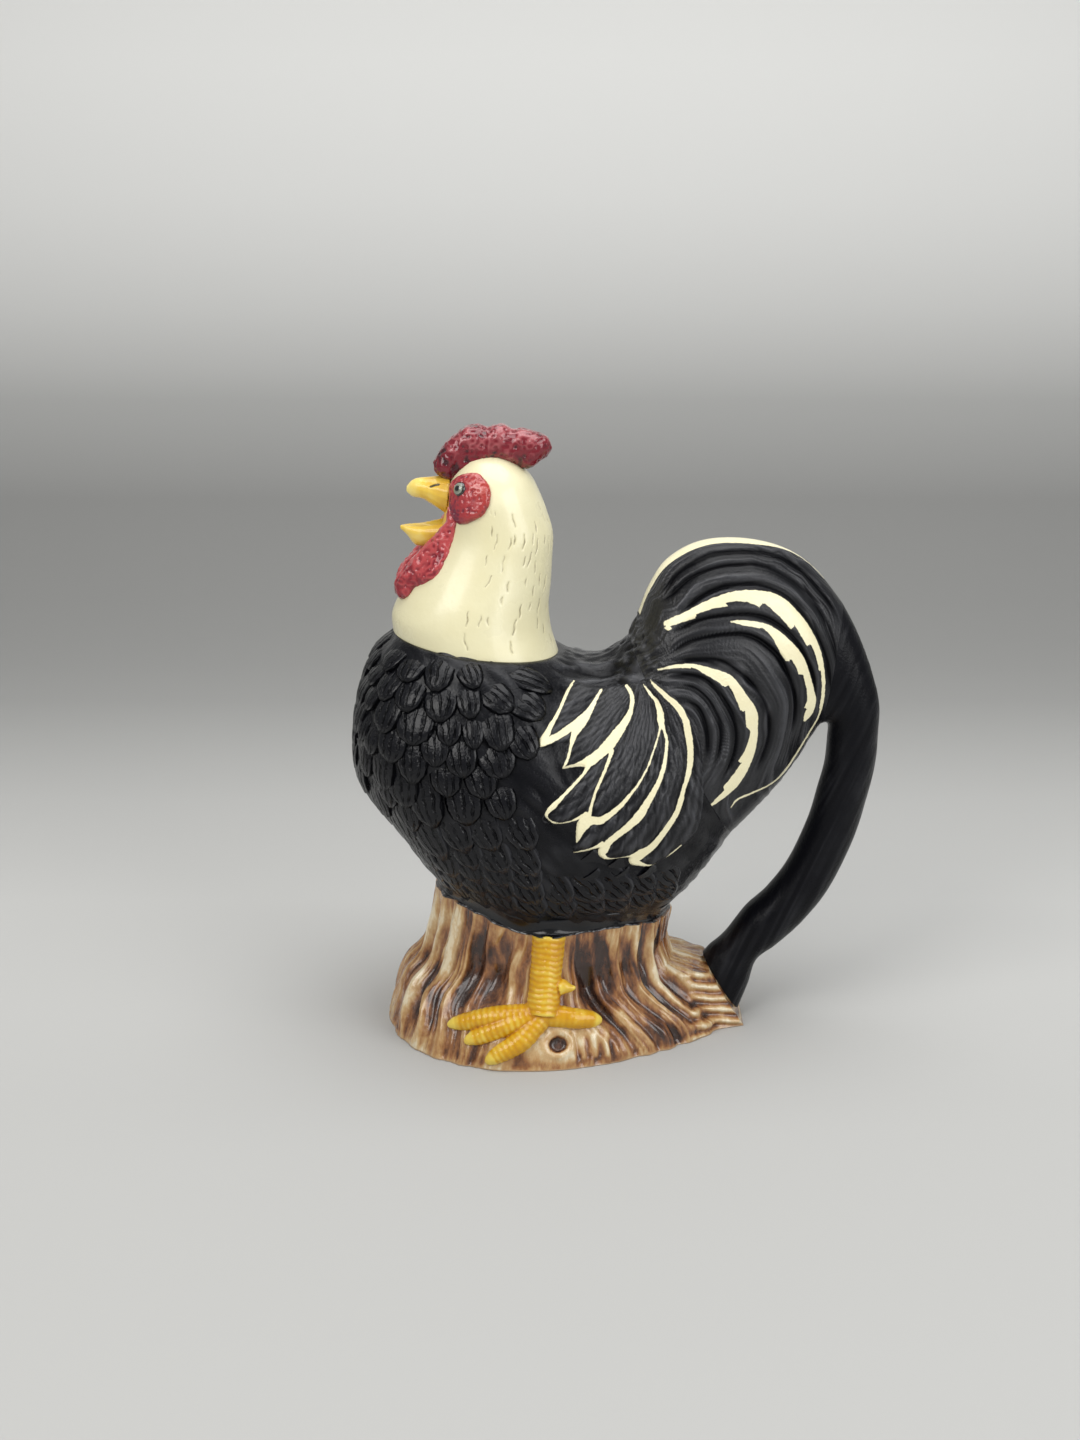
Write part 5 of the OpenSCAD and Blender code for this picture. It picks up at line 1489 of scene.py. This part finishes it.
def makeLeg(name, node, mirror):
    foot, top = onStump(leg["foot"]), onStump(leg["top"])
    r = leg["toe"]
    shank = [(*(top + (foot - top) * t), leg["shank"] * (1.02 - 0.08 * math.sin(math.pi * t)))
             for t in np.linspace(0, 1, 6)]
    toes, plain, tips = [], [], []
    for middle, tip in leg["toes"]:
        m, e = onStump(middle), onStump(tip)
        toe = [(*foot, r * 1.15), (*m, r * 1.06), (*(m + (e - m) * 0.70), r * 0.86),
               (*e, r * 0.54), (*(e + (e - m) * 0.12), r * 0.2)]
        tips.append(e)
        (plain if middle[0] > leg["foot"][0] else toes).append(toe)
    root, tip = (onStump(place) for place in leg["spur"])
    plain.append([(*root, r * 0.85), (*((root + tip) / 2), r * 0.60), (*tip, r * 0.15)])
    parts = [sweptLimbs([shank], leg["ring"], leg["depth"]), sweptLimbs(toes, leg["toeRing"], leg["toeDepth"]),
             sweptLimbs(plain, leg["toeRing"], leg["plainDepth"])]
    piece = newObject(name, bpy.data.meshes.new(name))
    joinMeshes(piece, parts, weld=0)
    start, n = evenSkin(piece, leg["voxel"], leg["rounds"])
    p = start + n * (0.16 * grain(start, 3.0, 91))[:, None]
    # the rings of the shank waver
    above = ease((p[:, 2] - foot[2] - 3) / 6)
    sway = 0.55 * grain(p * np.array([1, 1, 0.4]), 3.6, 92) + 0.3 * np.sin((p[:, 0] - foot[0]) * 0.9)
    p[:, 2] = np.maximum(p[:, 2] + above * sway, 0.3)
    groove = ((start - averaged(piece, 10)) * n).sum(1)
    nail = ease((4.6 - np.min([np.linalg.norm(p - tip, axis=1) for tip in tips], 0)) / 2.2)
    # relief is paler on the ridges and deeper orange in the grooves: partly the glaze's own pooling, partly painted
    # highlight and painted shade
    relief = np.clip(0.64 + 2.5 * groove + 0.3 * nail, 0, 1)
    setShape(piece, p, {"relief": relief, "mark": np.zeros(len(p))}, mirror)
    settle(piece, legGlaze, node)


legGlaze = yellowGlaze("leg glaze", [(0.22, 0.070, 0.003), (0.50, 0.21, 0.006),
                                     (0.62, 0.33, 0.010),
                                     (0.76, 0.56, 0.085)])
makeLeg("leftLeg", "left_leg", False)
makeLeg("rightLeg", "right_leg", True)


# Studio: paper sweep, soft lights, camera

paper = dict(
    half=2.2, front=-1.6, bend=0.55, top=2.2, sink=0.0002,
    paintedLightTones=[(0.05, 0.457), (0.153, 0.464), (0.305, 0.516), (0.411, 0.454), (0.547, 0.329), (0.692, 0.278), (0.784, 0.260),
           (0.851, 0.367), (0.904, 0.565), (0.943, 0.694), (0.979, 0.785)])


def makeSweep():
    bend = paper["bend"]
    profile = [(paper["front"], 0.0)] + [(y, 0.0) for y in np.linspace(-1.2, bend, 12)]
    profile += [(bend + bend * math.sin(t), bend - bend * math.cos(t)) for t in np.radians(np.arange(6, 91, 6))]
    profile += [(2 * bend, 1.0), (2 * bend, paper["top"])]
    points = [(x, y, z - paper["sink"]) for y, z in profile for x in (-paper["half"], paper["half"])]
    faces = [(2 * i, 2 * i + 1, 2 * i + 3, 2 * i + 2) for i in range(len(profile) - 1)]
    mesh = bpy.data.meshes.new("paperSweep")
    mesh.from_pydata(points, [], faces)
    mesh.shade_smooth()
    sweep = newObject("paperSweep", mesh)
    g = Glaze("paper")
    place = g.node("ShaderNodeSeparateXYZ", {"Vector": g.place}).outputs["Y"]
    # the paper's colour changes from front to back, darkest round the bend of the sweep and lightest up the back wall:
    # painted light and shade of the studio
    colour = g.ramp(g.span(place, -0.3, 1.1), [(at, (tone, tone, tone * 0.975)) for at, tone in paper["paintedLightTones"]])
    mesh.materials.append(g.finish(colour, 0.9, None, specular=0.1))


def softLight(name, place, aim, size, power, tint=(1, 1, 1)):
    data = bpy.data.lights.new(name, "AREA")
    data.energy = power
    data.size = size
    data.color = tint
    lamp = bpy.data.objects.new(name, data)
    lamp.location = place
    lamp.rotation_euler = (Vector(aim) - Vector(place)).to_track_quat("-Z", "Y").to_euler()
    bpy.context.scene.collection.objects.link(lamp)


makeSweep()
softLight("keyLight", (-0.70, -0.80, 0.95), (0, 0, 0.12), 0.8, 9.0, (1.0, 0.985, 0.96))
softLight("topLight", (0.10, 0.0, 1.2), (0, 0, 0.1), 1.0, 9.5)
softLight("fillLight", (0.9, -0.8, 0.6), (0, 0, 0.12), 0.9, 8.5)
world = bpy.data.worlds.new("studio")
world.use_nodes = True
world.node_tree.nodes["Background"].inputs["Color"].default_value = (0.82, 0.83, 0.84, 1)
world.node_tree.nodes["Background"].inputs["Strength"].default_value = 0.36
bpy.context.scene.world = world

lens = bpy.data.cameras.new("camera")
lens.lens = 56.925
lens.sensor_width = 36.0
lens.clip_start = 0.05
camera = bpy.data.objects.new("camera", lens)
camera.location = (-0.0095, -0.900, 0.408)
camera.rotation_euler = (math.radians(90 - 17.14), 0, 0)
bpy.context.scene.collection.objects.link(camera)
bpy.context.scene.camera = camera
bpy.context.scene.view_settings.view_transform = "Standard"
